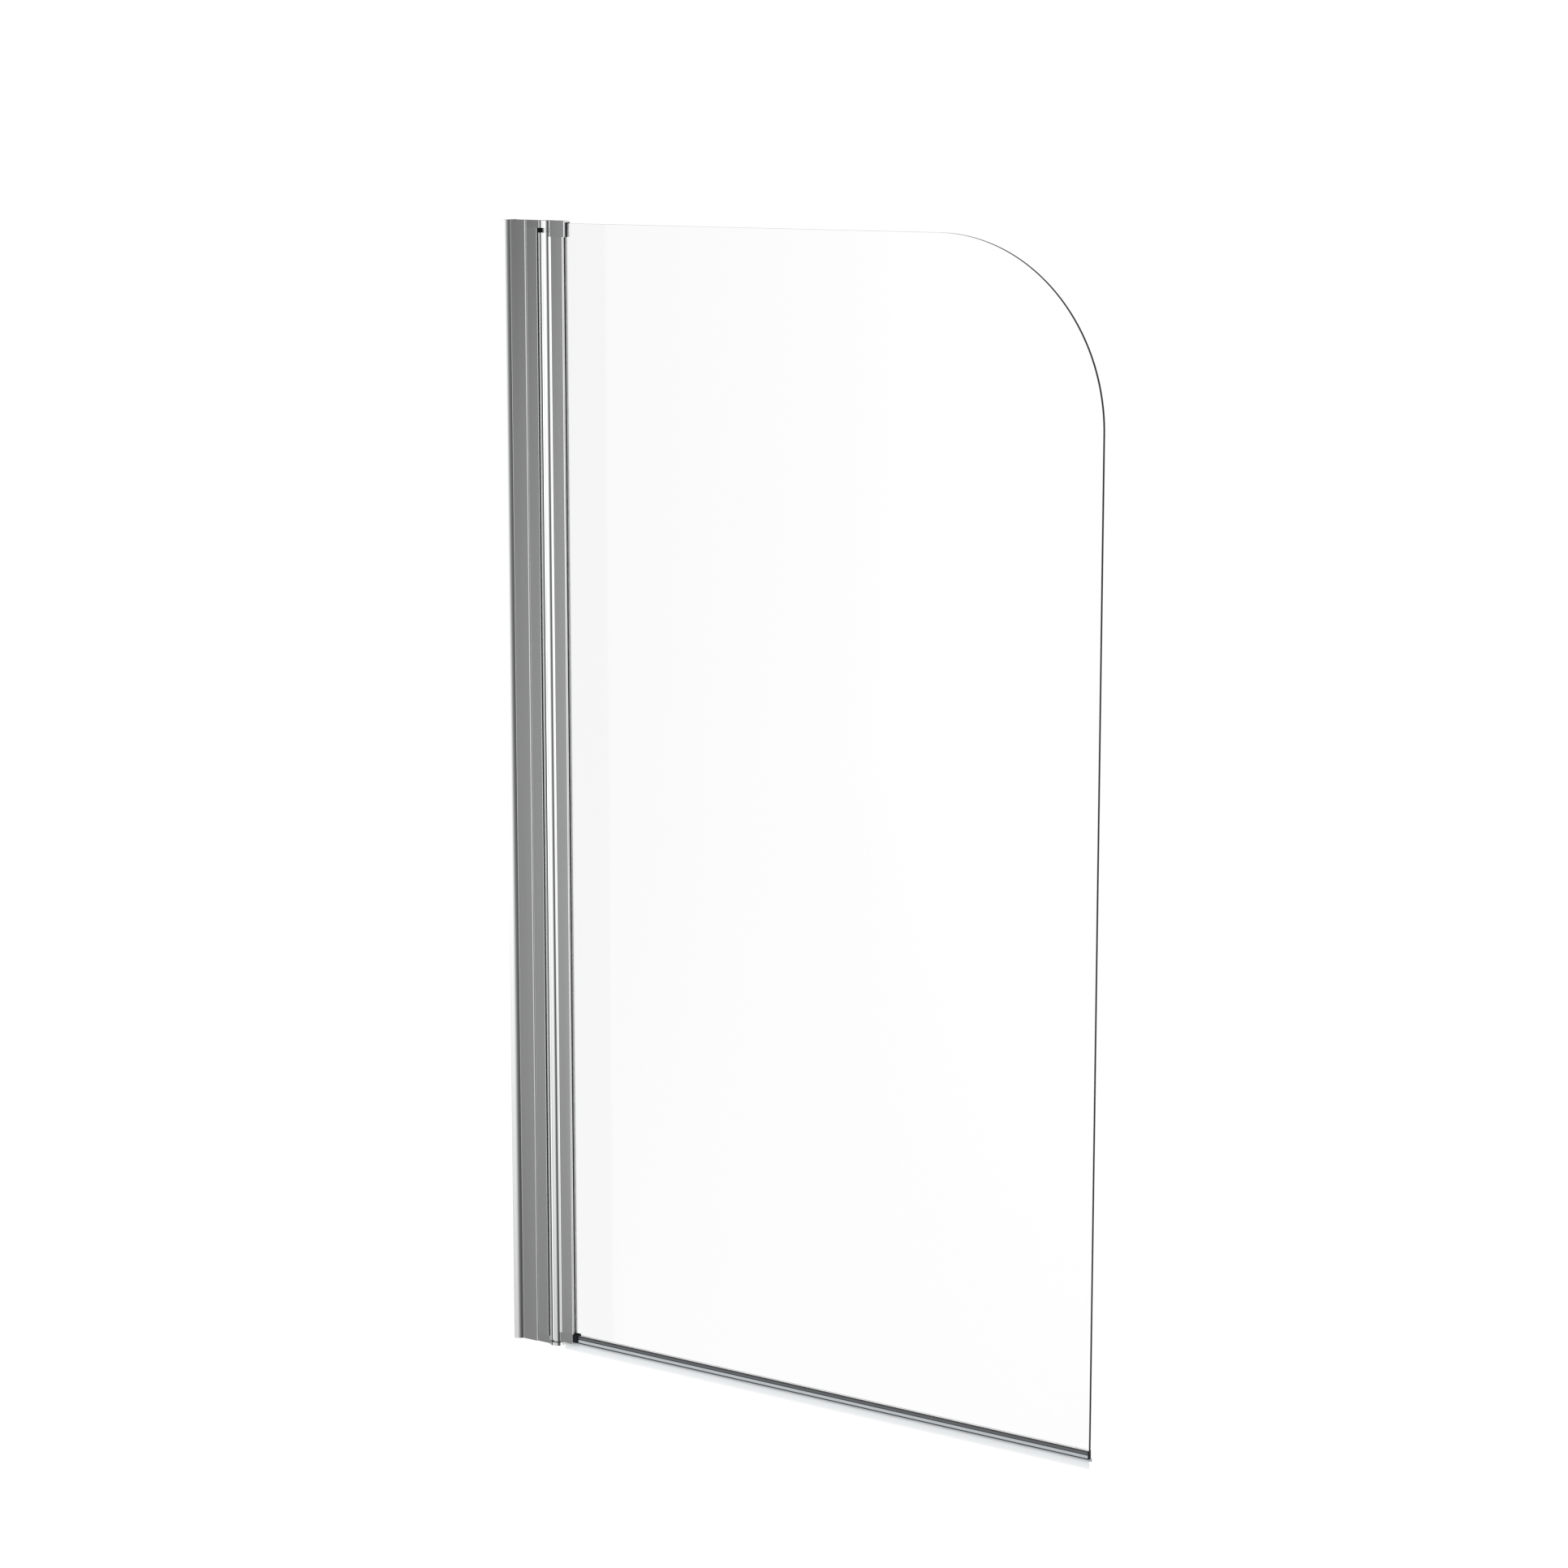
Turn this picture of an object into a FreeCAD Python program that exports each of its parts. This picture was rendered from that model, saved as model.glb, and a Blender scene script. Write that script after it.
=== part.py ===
import FreeCAD, Part
import math
import os

# Hinged glass bath screen, millimetres.
# X = 0 is the wall, +X runs towards the free end of the glass.
# Y = 0 is the middle of the glass, -Y faces the room and +Y the bath.
# Z = 0 is the bottom end of the wall channel.

# ---------------------------------------------------------------- driving dimensions
# Wall channel
screen_height = 1400.0
foot_half = 13.8            # half width against the wall
foot_edge = 0.5             # flat edge of the foot before the flare
flare_end = 10.0            # distance from the wall at which the flare meets the neck
flare_bulge = 0.7           # rise of the flare over its chord
flare_fillet = 0.8          # hollow corner between flare and neck
neck_half = 7.3
channel_mouth = 32.2        # distance from the wall to the open mouth
channel_wall = 1.35
channel_base = 2.2
mouth_round = 1.2
slide_gap = 0.15            # between the channel and the expander, each side

# Fixing to the wall
wall_hole_radius = 2.6
wall_hole_count = 4
wall_hole_margin = 100.0    # first and last hole to the ends of the channel

# Expander, the adjustable part of the wall profile
hinge_reach = 27.1          # channel mouth to hinge axis at the middle of the adjustment
adjust_travel = 8.0         # in or out from the middle
screw_head_room = 3.8       # channel base to expander when it is all the way in
expander_wall = 1.4
expander_end_wall = 3.9     # behind the round seat of the hinge seal
expander_corner = 0.6

# Locking of the expander
lock_count = 3
lock_margin = 150.0         # first and last screw to the ends of the channel
lock_from_mouth = 5.2
lock_thread_radius = 1.95
lock_head_radius = 3.75
lock_head_height = 2.4
lock_tip = 0.5              # length of screw beyond the nut plate
nut_plate_width = 9.0
nut_plate_height = 16.0
nut_plate_thickness = 2.3
lock_cap_radius = 5.0
lock_cap_wall = 0.8

# Hinge
post_radius = 10.0
post_bore = 7.2
pin_radius = 5.0
pin_flange_radius = 6.5
pin_flange_height = 1.2
pin_engagement = 21.0       # length of each pin inside the post
top_knuckle_height = 8.7
top_gap = 5.8               # room for the rise of the panel
bottom_knuckle_height = 4.2
bottom_web_height = 9.6
ring_height = 1.4
tooth_height = 2.4
tooth_width = 3.6
running_gap = 0.1           # flat faces that turn on each other
round_gap = 0.3             # round faces that turn past each other
bush_length = 22.0
fit_gap = 0.05              # radial, pins in bushes and screws in ports

# Rubber seal between expander and post
seal_thickness = 1.1
seal_neck_half = 0.7
seal_neck_length = 1.2
seal_head_half = 1.5
seal_head_length = 1.2

# Glass and the channel that grips it
glass_thickness = 4.0
glass_arris = 0.4
glass_far_edge = 833.2      # distance from the wall
glass_corner_radius = 215.0
post_web = 6.7              # round of the post to the bottom of the glass groove
groove_depth = 12.3
glass_edge_gap = 1.2        # groove bottom to glass edge
channel_lip = 1.8           # metal thickness beside the glass
gasket_thickness = 1.7
lip_round = 1.5
post_fillet = 4.5
gasket_stand_out = 0.7
spacer_length = 40.0
spacer_count = 3

# Blocks that close the glass channel at its ends
top_block_height = 19.2
top_block_proud = 0.4
top_block_set_back = 1.9    # round of the post to the straight cheeks
top_block_past_lip = 2.9
top_block_cheek = 1.5
top_block_roof = 1.8
top_pad_roof = 1.2
top_pad_stand_out = 1.1
top_liner_stand_out = 0.4
block_tongue_half = 4.6
bottom_block_base = 5.5     # height of its underside
bottom_block_cover = 0.8    # height of its top over the seal carrier
ledge_length = 2.8          # part of the glass edge that stands on the block
block_screw_set_back = 3.3  # round of the post to the screw
block_screw_depth = 14.0    # into the post

# Small countersunk screws
screw_radius = 1.45
screw_head_radius = 2.4
screw_head_height = 1.4
port_wall = 1.25
cap_screw_depth = 14.0
cap_plug_depth = 12.0

# Water seal under the glass
carrier_base = 7.0
carrier_height = 10.2
carrier_leg = 0.75
carrier_floor = 1.1
carrier_chamber = 3.85      # height of the space between floor and web
carrier_web = 1.0
carrier_fit = 0.05
blade_drop = 12.5
blade_start = 12.0          # hinge axis to the inner end of the blade
blade_roof_gap = 0.1        # blade to the underside of the bottom block
blade_thickness = 1.0
blade_head_half = 1.6
blade_head_height = 1.4
lip_out = 4.2
lip_drop = 6.3
lip_thickness = 0.6
end_cap_thickness = 0.9
end_cap_plug = 4.0
corner_pad_length = 7.0
corner_pad_base = 7.9
corner_pad_round = 1.0
pad_tongue_length = 4.8
pad_tongue_thickness = 0.85

# ---------------------------------------------------------------- derived places
expander_half = neck_half - channel_wall - slide_gap
expander_inner = expander_half - expander_wall
axis_x = channel_mouth + hinge_reach
expander_start = channel_base + screw_head_room + adjust_travel
seat_radius = post_radius + round_gap + seal_thickness
expander_front = axis_x - math.sqrt(seat_radius ** 2 - expander_half ** 2)
hollow_end = axis_x - seat_radius - expander_end_wall
lock_x = channel_mouth - lock_from_mouth
lock_pitch = (screen_height - 2 * lock_margin) / (lock_count - 1)
lock_heights = [lock_margin + i * lock_pitch for i in range(lock_count)]
wall_hole_pitch = (screen_height - 2 * wall_hole_margin) / (wall_hole_count - 1)

knuckle_under = screen_height - top_knuckle_height
post_top = knuckle_under - top_gap
post_base = bottom_knuckle_height + ring_height + running_gap

glass_half = glass_thickness / 2
groove_half = glass_half + gasket_thickness
post_half = groove_half + channel_lip
groove_x = axis_x + post_radius + post_web
glass_start = groove_x + glass_edge_gap
lip_x = groove_x + groove_depth
channel_top = screen_height - top_block_height
block_gap = post_radius + round_gap + fit_gap
top_block_start = axis_x + post_radius + top_block_set_back
top_block_end = lip_x + top_block_past_lip
bottom_block_end = lip_x - lip_round
block_screw_x = axis_x + post_radius + block_screw_set_back
glass_top = screen_height - top_block_roof - top_pad_roof
top_block_half = post_half + top_block_proud
top_slot_half = top_block_half - top_block_cheek

carrier_half = glass_half + carrier_fit + carrier_leg
carrier_top = carrier_base + carrier_height
chamber_base = carrier_base + carrier_floor
chamber_top = chamber_base + carrier_chamber
glass_bottom = chamber_top + carrier_web + carrier_fit
bottom_block_top = carrier_top + bottom_block_cover
carrier_start = glass_start + ledge_length
carrier_end = glass_far_edge - end_cap_thickness
carrier_slot_half = carrier_half + fit_gap
slit_half = blade_thickness / 2 + fit_gap

port_radius = screw_radius + fit_gap
boss_radius = port_radius + port_wall
# The first port grows out of the front wall, the second out of the end wall.
cap_ports = [
    (hollow_end - 7.0, -(expander_inner + port_wall / 4 - boss_radius)),
    (hollow_end - 1.6, 0.6),
]


# ---------------------------------------------------------------- shape helpers
def vec(x, y, z=0.0):
    return FreeCAD.Vector(x, y, z)


def box(x0, x1, y0, y1, z0, z1):
    return Part.makeBox(x1 - x0, y1 - y0, z1 - z0, vec(x0, y0, z0))


def upright(x, y, radius, z0, z1):
    return Part.makeCylinder(radius, z1 - z0, vec(x, y, z0))


def across(x, z, radius, y0, y1):
    return Part.makeCylinder(radius, y1 - y0, vec(x, y0, z), vec(0, 1, 0))


def line(a, b):
    return Part.LineSegment(vec(*a), vec(*b)).toShape()


def arc(a, middle, b):
    return Part.Arc(vec(*a), vec(*middle), vec(*b)).toShape()


def raise_face(edges, z0, z1):
    face = Part.Face(Part.Wire(Part.__sortEdges__(edges)))
    face.translate(vec(0, 0, z0))
    return face.extrude(vec(0, 0, z1 - z0))


def raise_polygon(points, z0, z1):
    corners = [vec(x, y, z0) for x, y in points]
    return Part.Face(Part.makePolygon(corners + corners[:1])).extrude(vec(0, 0, z1 - z0))


def along_x(points, x0, x1):
    """A straight strip whose section is given as (y, z) points."""
    corners = [vec(x0, y, z) for y, z in points]
    return Part.Face(Part.makePolygon(corners + corners[:1])).extrude(vec(x1 - x0, 0, 0))


def rounded_upright_edges(shape, radius, places):
    """Round the edges that run along Z through the given (x, y) places."""
    edges = []
    for edge in shape.Edges:
        ends = [vertex.Point for vertex in edge.Vertexes]
        if len(ends) != 2 or abs(ends[0].x - ends[1].x) + abs(ends[0].y - ends[1].y) > 1e-6:
            continue
        if any(abs(ends[0].x - x) + abs(ends[0].y - y) < 1e-4 for x, y in places):
            edges.append(edge)
    return shape.makeFillet(radius, edges)


def countersunk_screw(x, y, head_z, depth, down=True):
    """A screw flush with the face at head_z, pointing down or up."""
    way = -1 if down else 1
    axis = vec(0, 0, way)
    head = Part.makeCone(screw_head_radius, screw_radius, screw_head_height, vec(x, y, head_z), axis)
    shank = Part.makeCylinder(screw_radius, depth, vec(x, y, head_z), axis)
    slot_depth = screw_head_height * 0.55
    slot_half = 0.4
    screw = head.fuse(shank).removeSplitter()
    low, high = sorted([head_z, head_z + way * slot_depth])
    reach = screw_head_radius + 1
    screw = screw.cut(box(x - reach, x + reach, y - slot_half, y + slot_half, low, high))
    return screw.cut(box(x - slot_half, x + slot_half, y - reach, y + reach, low, high))


def countersink(x, y, head_z, depth, down=True):
    """The hole for such a screw, larger all round by the fit gap."""
    axis = vec(0, 0, -1 if down else 1)
    cone = Part.makeCone(screw_head_radius + fit_gap, port_radius, screw_head_height, vec(x, y, head_z), axis)
    return cone.fuse(Part.makeCylinder(port_radius, depth, vec(x, y, head_z), axis))


# ---------------------------------------------------------------- wall channel
def flare_edges(side):
    """Foot, flare and neck of one side, from the wall to the mouth."""
    start = (foot_edge, side * foot_half)
    end = (flare_end, side * neck_half)
    chord = math.hypot(flare_end - foot_edge, foot_half - neck_half)
    out_x = (foot_half - neck_half) / chord * flare_bulge
    out_y = (flare_end - foot_edge) / chord * flare_bulge
    middle = ((start[0] + end[0]) / 2 + out_x, (start[1] + end[1]) / 2 + side * out_y)
    turn = mouth_round * (1 - math.sqrt(0.5))
    round_start = (channel_mouth - mouth_round, side * neck_half)
    round_middle = (channel_mouth - turn, side * (neck_half - turn))
    round_end = (channel_mouth, side * (neck_half - mouth_round))
    return [
        line((0, side * foot_half), start),
        arc(start, middle, end),
        line(end, round_start),
        arc(round_start, round_middle, round_end),
    ]


def cavity_half(x):
    """Half width of the space behind the flare at distance x from the wall."""
    slope = (foot_half - neck_half) / (flare_end - foot_edge)
    at_base = foot_half - (channel_base - foot_edge) * slope
    at_base -= channel_wall * math.sqrt(1 + slope ** 2)
    share = (x - channel_base) / (flare_end - channel_base)
    return at_base + share * (expander_half + slide_gap - at_base)


def make_wall_channel():
    edges = flare_edges(-1) + flare_edges(1)
    edges.append(line((0, -foot_half), (0, foot_half)))
    inner = neck_half - mouth_round
    edges.append(line((channel_mouth, -inner), (channel_mouth, inner)))
    channel = raise_face(edges, 0, screen_height)
    corners = [(flare_end, -neck_half), (flare_end, neck_half)]
    channel = rounded_upright_edges(channel, flare_fillet, corners)
    guide = expander_half + slide_gap
    wide = cavity_half(channel_base)
    cavity = raise_polygon([
        (channel_base, -wide), (flare_end, -guide), (channel_mouth + 1, -guide),
        (channel_mouth + 1, guide), (flare_end, guide), (channel_base, wide),
    ], 0, screen_height)
    channel = channel.cut(cavity)
    for i in range(wall_hole_count):
        height = wall_hole_margin + i * wall_hole_pitch
        hole = Part.makeCylinder(wall_hole_radius, channel_base + 2, vec(-1, 0, height), vec(1, 0, 0))
        channel = channel.cut(hole)
    for height in lock_heights:
        channel = channel.cut(across(lock_x, height, lock_thread_radius + fit_gap, 0, neck_half + 1))
    return channel


def make_channel_plug(z0, z1):
    """Plastic plug that closes the wide end of the channel beside the expander."""
    near = channel_base + fit_gap
    far = expander_start - adjust_travel - 2 * fit_gap
    return raise_polygon([
        (near, -(cavity_half(near) - fit_gap)), (far, -(cavity_half(far) - fit_gap)),
        (far, cavity_half(far) - fit_gap), (near, cavity_half(near) - fit_gap),
    ], z0, z1)


# ---------------------------------------------------------------- locking screws
def make_locking_screws():
    screws = []
    plate_front = expander_inner - nut_plate_thickness
    for height in lock_heights:
        shank = across(lock_x, height, lock_thread_radius, plate_front - lock_tip, neck_half + 0.5)
        head = across(lock_x, height, lock_head_radius, neck_half, neck_half + lock_head_height)
        socket = across(lock_x, height, 1.5, neck_half + 1, neck_half + lock_head_height + 1)
        screws.append(shank.fuse(head).removeSplitter().cut(socket))
    return Part.makeCompound(screws)


def make_nut_plates():
    plates = []
    for height in lock_heights:
        plate = box(lock_x - nut_plate_width / 2, lock_x + nut_plate_width / 2,
                    expander_inner - nut_plate_thickness, expander_inner,
                    height - nut_plate_height / 2, height + nut_plate_height / 2)
        plates.append(plate.cut(across(lock_x, height, lock_thread_radius + fit_gap, -1, neck_half)))
    return Part.makeCompound(plates)


def make_lock_caps():
    caps = []
    inside = neck_half + lock_head_height + fit_gap
    for height in lock_heights:
        cap = across(lock_x, height, lock_cap_radius, neck_half, inside + lock_cap_wall)
        rim = [edge for edge in cap.Edges if abs(edge.CenterOfMass.y - inside - lock_cap_wall) < 1e-6]
        cap = cap.makeFillet(lock_cap_wall * 0.7, rim)
        caps.append(cap.cut(across(lock_x, height, lock_head_radius + fit_gap, neck_half - 1, inside)))
    return Part.makeCompound(caps)


# ---------------------------------------------------------------- expander
def seal_root(grow):
    """Neck and head of the seal's root, or with grow the groove that holds it."""
    seat_x = axis_x - seat_radius
    neck_x = seat_x - seal_neck_length
    z0, z1 = bottom_web_height, knuckle_under
    neck = box(neck_x - grow, seat_x + seal_thickness / 2, -(seal_neck_half + grow), seal_neck_half + grow, z0, z1)
    head = box(neck_x - seal_head_length - grow, neck_x + grow,
               -(seal_head_half + grow), seal_head_half + grow, z0, z1)
    return neck.fuse(head).removeSplitter()


def make_expander():
    z0, z1 = bottom_web_height, knuckle_under
    profile = box(expander_start, axis_x, -expander_half, expander_half, z0, z1)
    profile = profile.cut(upright(axis_x, 0, seat_radius, z0 - 1, z1 + 1))
    corners = [(expander_front, -expander_half), (expander_front, expander_half)]
    profile = rounded_upright_edges(profile, expander_corner, corners)
    profile = profile.cut(box(expander_start - 1, hollow_end, -expander_inner, expander_inner, z0, z1))
    for x, y in cap_ports:
        boss = upright(x, y, boss_radius, z0, z1).common(
            box(expander_start, axis_x, -expander_half, expander_half, z0, z1))
        profile = profile.fuse(boss)
    profile = profile.removeSplitter()
    for x, y in cap_ports:
        profile = profile.cut(upright(x, y, port_radius, z0 - 1, z1 + 1))
    profile = profile.cut(seal_root(fit_gap))
    slot_half = lock_thread_radius + 0.35
    for height in lock_heights:
        left, right = lock_x - adjust_travel, lock_x + adjust_travel
        slot = box(left, right, 0, neck_half, height - slot_half, height + slot_half)
        slot = slot.fuse(across(left, height, slot_half, 0, neck_half))
        slot = slot.fuse(across(right, height, slot_half, 0, neck_half))
        profile = profile.cut(slot)
    return profile


def make_hinge_seal():
    z0, z1 = bottom_web_height, knuckle_under
    body = upright(axis_x, 0, seat_radius, z0, z1).cut(upright(axis_x, 0, seat_radius - seal_thickness, z0, z1))
    body = body.common(box(axis_x - 2 * post_radius, axis_x, -expander_half, expander_half, z0, z1))
    return body.fuse(seal_root(0)).removeSplitter()


def cap_block(z0, z1, knuckle_z0, knuckle_z1):
    web = box(expander_start, axis_x, -expander_half, expander_half, z0, z1)
    return web.cut(upright(axis_x, 0, block_gap, z0 - 1, z1 + 1)).fuse(
        box(expander_start, axis_x, -expander_half, expander_half, knuckle_z0, knuckle_z1)).fuse(
        upright(axis_x, 0, post_radius, knuckle_z0, knuckle_z1)).removeSplitter()


def cap_plug(z0, z1):
    """The part of a pivot cap that stands inside the hollow of the expander."""
    far = cap_ports[0][0] - boss_radius - 4 * fit_gap
    return box(expander_start + 2, far, -(expander_inner - fit_gap), expander_inner - fit_gap, z0, z1)


def make_top_pivot_cap():
    cap = cap_block(knuckle_under, screen_height, knuckle_under, screen_height)
    cap = cap.fuse(cap_plug(knuckle_under - cap_plug_depth, knuckle_under)).removeSplitter()
    flange_z = screen_height - pin_flange_height - fit_gap
    cap = cap.cut(upright(axis_x, 0, pin_radius + fit_gap / 2, knuckle_under - 1, screen_height + 1))
    cap = cap.cut(upright(axis_x, 0, pin_flange_radius + fit_gap, flange_z, screen_height + 1))
    for x, y in cap_ports:
        cap = cap.cut(countersink(x, y, screen_height, top_knuckle_height + 1))
    grub_z = (knuckle_under + flange_z) / 2
    return cap.cut(across(axis_x, grub_z, screw_radius + fit_gap, 0, post_radius + 1))


def make_bottom_pivot_cap():
    cap = cap_block(0, bottom_web_height, 0, bottom_knuckle_height)
    cap = cap.fuse(cap_plug(bottom_web_height, bottom_web_height + cap_plug_depth)).removeSplitter()
    cap = cap.cut(upright(axis_x, 0, pin_radius + fit_gap / 2, -1, bottom_knuckle_height + 1))
    cap = cap.cut(upright(axis_x, 0, pin_flange_radius + fit_gap, -1, pin_flange_height + fit_gap))
    for x, y in cap_ports:
        cap = cap.cut(countersink(x, y, 0, bottom_web_height + 1, down=False))
    return cap


def make_cap_screws(face_z, cap_height, down):
    length = cap_height + cap_screw_depth
    return Part.makeCompound([countersunk_screw(x, y, face_z, length, down) for x, y in cap_ports])


def make_grub_screw():
    flange_z = screen_height - pin_flange_height - fit_gap
    grub_z = (knuckle_under + flange_z) / 2
    screw = across(axis_x, grub_z, screw_radius, pin_radius + fit_gap, post_radius - 0.8)
    return screw.cut(across(axis_x, grub_z, screw_radius / 2, post_radius - 2, post_radius))


def pivot_pin(z0, z1, flange_z):
    pin = upright(axis_x, 0, pin_radius, z0, z1)
    return pin.fuse(upright(axis_x, 0, pin_flange_radius, flange_z, flange_z + pin_flange_height)).removeSplitter()


def make_top_pin():
    return pivot_pin(post_top - pin_engagement, screen_height, screen_height - pin_flange_height)


def make_bottom_pin():
    return pivot_pin(0, post_base + pin_engagement, 0)


# ---------------------------------------------------------------- cam ring
def teeth(height, width, inner, outer, base):
    """Two teeth, one on the room side and one on the bath side."""
    tooth = []
    for side in (-1, 1):
        corners = [vec(axis_x - width / 2, 0, base), vec(axis_x, 0, base + height), vec(axis_x + width / 2, 0, base)]
        wedge = Part.Face(Part.makePolygon(corners + corners[:1])).extrude(vec(0, side * 2 * outer, 0))
        band = upright(axis_x, 0, outer, base - 1, base + height + 1).cut(
            upright(axis_x, 0, inner, base - 1, base + height + 1))
        tooth.append(wedge.common(band))
    return tooth


def make_cam_ring():
    base = bottom_knuckle_height
    top = base + ring_height
    ring = upright(axis_x, 0, post_radius - fit_gap, base, top).cut(
        upright(axis_x, 0, pin_radius + 2 * fit_gap, base, top))
    for tooth in teeth(tooth_height, tooth_width, post_bore + 2 * fit_gap, post_radius - fit_gap, top):
        ring = ring.fuse(tooth)
    return ring.removeSplitter()


# ---------------------------------------------------------------- hinge post
def post_section(z0, z1):
    """Round post and glass channel in one outline, joined by hollow fillets."""
    centre_y = post_half + post_fillet
    centre_x = math.sqrt((post_radius + post_fillet) ** 2 - centre_y ** 2)
    share = post_radius / (post_radius + post_fillet)
    lean = math.atan2(centre_x, centre_y)
    half_way = lean / 2
    turn = lip_round * (1 - math.sqrt(0.5))
    edges = []
    touches = []
    for side in (-1, 1):
        touch = (axis_x + centre_x * share, side * centre_y * share)
        straight = (axis_x + centre_x, side * post_half)
        middle = (axis_x + centre_x - post_fillet * math.sin(half_way),
                  side * (centre_y - post_fillet * math.cos(half_way)))
        touches.append(touch)
        edges.append(arc(touch, middle, straight))
        edges.append(line(straight, (lip_x - lip_round, side * post_half)))
        edges.append(arc((lip_x - lip_round, side * post_half), (lip_x - turn, side * (post_half - turn)),
                         (lip_x, side * (post_half - lip_round))))
    edges.append(line((lip_x, -(post_half - lip_round)), (lip_x, post_half - lip_round)))
    edges.append(arc(touches[0], (axis_x - post_radius, 0), touches[1]))
    return raise_face(edges, z0, z1)


def make_hinge_post():
    post = post_section(bottom_block_top, channel_top)
    post = post.cut(box(groove_x, lip_x + 1, -groove_half, groove_half, 0, screen_height))
    tube = upright(axis_x, 0, post_radius, post_base, post_top)
    post = post.fuse(tube).removeSplitter()
    post = post.cut(upright(axis_x, 0, post_bore, 0, screen_height))
    post = post.cut(upright(block_screw_x, 0, port_radius, 0, screen_height))
    for notch in teeth(tooth_height + running_gap, tooth_width + 4 * fit_gap,
                       post_bore - 1, post_radius + 1, post_base):
        post = post.cut(notch)
    return post


def make_bush(z0, z1):
    outside = upright(axis_x, 0, post_bore - fit_gap, z0, z1)
    return outside.cut(upright(axis_x, 0, pin_radius + fit_gap, z0, z1))


# ---------------------------------------------------------------- blocks of the glass channel
def make_top_block():
    start, end = top_block_start, top_block_end
    block = box(start, end, -top_block_half, top_block_half, channel_top, screen_height)
    corners = [(end, -top_block_half), (end, top_block_half)]
    block = rounded_upright_edges(block, top_block_cheek * 0.99, corners)
    block = block.fuse(box(axis_x, start, -block_tongue_half, block_tongue_half, channel_top, screen_height))
    block = block.removeSplitter().cut(upright(axis_x, 0, block_gap, 0, screen_height + 1))
    roof = screen_height - top_block_roof
    block = block.cut(box(groove_x, end + 1, -top_slot_half, top_slot_half, channel_top - 1, roof))
    return block.cut(countersink(block_screw_x, 0, screen_height, top_block_height + 1))


def make_top_pad():
    """Rubber pad beside the glass on the room side, with a flap over its top edge."""
    roof = screen_height - top_block_roof - fit_gap
    end = top_block_end + top_pad_stand_out
    half = top_slot_half - fit_gap
    pad = box(groove_x + fit_gap, top_block_end, -half, half, glass_top, roof)
    pad = pad.fuse(box(groove_x + fit_gap, top_block_end, -half, -glass_half, channel_top + fit_gap, roof))
    pad = pad.fuse(box(groove_x + fit_gap, end, -half, -glass_half, channel_top + fit_gap, glass_top))
    return pad.removeSplitter()


def make_top_liner():
    """Clear strip that wedges the glass on the bath side of the top block."""
    half = top_slot_half - fit_gap
    end = top_block_end + top_liner_stand_out
    return box(groove_x + fit_gap, end, glass_half, half, channel_top + fit_gap, glass_top)


def make_bottom_block():
    end = bottom_block_end
    block = post_section(bottom_block_base, bottom_block_top)
    block = block.common(box(axis_x, end, -post_half, post_half, 0, bottom_block_top))
    block = block.cut(upright(axis_x, 0, block_gap, 0, screen_height))
    block = block.cut(box(glass_start, end + 1, -glass_half, glass_half, glass_bottom, screen_height))
    block = block.cut(box(carrier_start - fit_gap, end + 1, -carrier_slot_half, carrier_slot_half,
                          0, screen_height))
    tongue = pad_tongue_thickness + fit_gap
    block = block.cut(box(end - pad_tongue_length - fit_gap, end + 1, -(carrier_slot_half + tongue),
                          carrier_slot_half + tongue, bottom_block_base + 3, bottom_block_top + 1))
    screw_depth = bottom_block_top - bottom_block_base + 1
    return block.cut(countersink(block_screw_x, 0, bottom_block_base, screw_depth, down=False))


def make_block_screws():
    upper = countersunk_screw(block_screw_x, 0, screen_height, top_block_height + block_screw_depth)
    lower_length = bottom_block_top - bottom_block_base + block_screw_depth
    lower = countersunk_screw(block_screw_x, 0, bottom_block_base, lower_length, down=False)
    return Part.makeCompound([upper, lower])


# ---------------------------------------------------------------- glass and its gaskets
def make_glass():
    corner_x = glass_far_edge - glass_corner_radius
    corner_z = glass_top - glass_corner_radius
    slant = glass_corner_radius * math.sqrt(0.5)
    y = -glass_half
    edges = [
        Part.LineSegment(vec(glass_start, y, glass_bottom), vec(glass_far_edge, y, glass_bottom)).toShape(),
        Part.LineSegment(vec(glass_far_edge, y, glass_bottom), vec(glass_far_edge, y, corner_z)).toShape(),
        Part.Arc(vec(glass_far_edge, y, corner_z), vec(corner_x + slant, y, corner_z + slant),
                 vec(corner_x, y, glass_top)).toShape(),
        Part.LineSegment(vec(corner_x, y, glass_top), vec(glass_start, y, glass_top)).toShape(),
        Part.LineSegment(vec(glass_start, y, glass_top), vec(glass_start, y, glass_bottom)).toShape(),
    ]
    panel = Part.Face(Part.Wire(Part.__sortEdges__(edges))).extrude(vec(0, glass_thickness, 0))
    sharp = [edge for edge in panel.Edges if abs(abs(edge.CenterOfMass.y) - glass_half) < 1e-6]
    return panel.makeChamfer(glass_arris, sharp)


def make_gasket(side, stand_out):
    """Strip wedged between glass and channel lip on the side -1 (room) or 1 (bath)."""
    near, far = sorted([side * glass_half, side * groove_half])
    end = lip_x + stand_out
    strip = box(groove_x, end, near, far, bottom_block_top, channel_top)
    soft = gasket_thickness * 0.35
    return rounded_upright_edges(strip, soft, [(end, side * groove_half)])


def make_edge_spacers():
    spacers = []
    for i in range(spacer_count):
        middle = channel_top * (i + 0.5) / spacer_count
        half = glass_half - fit_gap
        spacers.append(box(groove_x, glass_start, -half, half, middle - spacer_length / 2, middle + spacer_length / 2))
    return Part.makeCompound(spacers)


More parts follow.
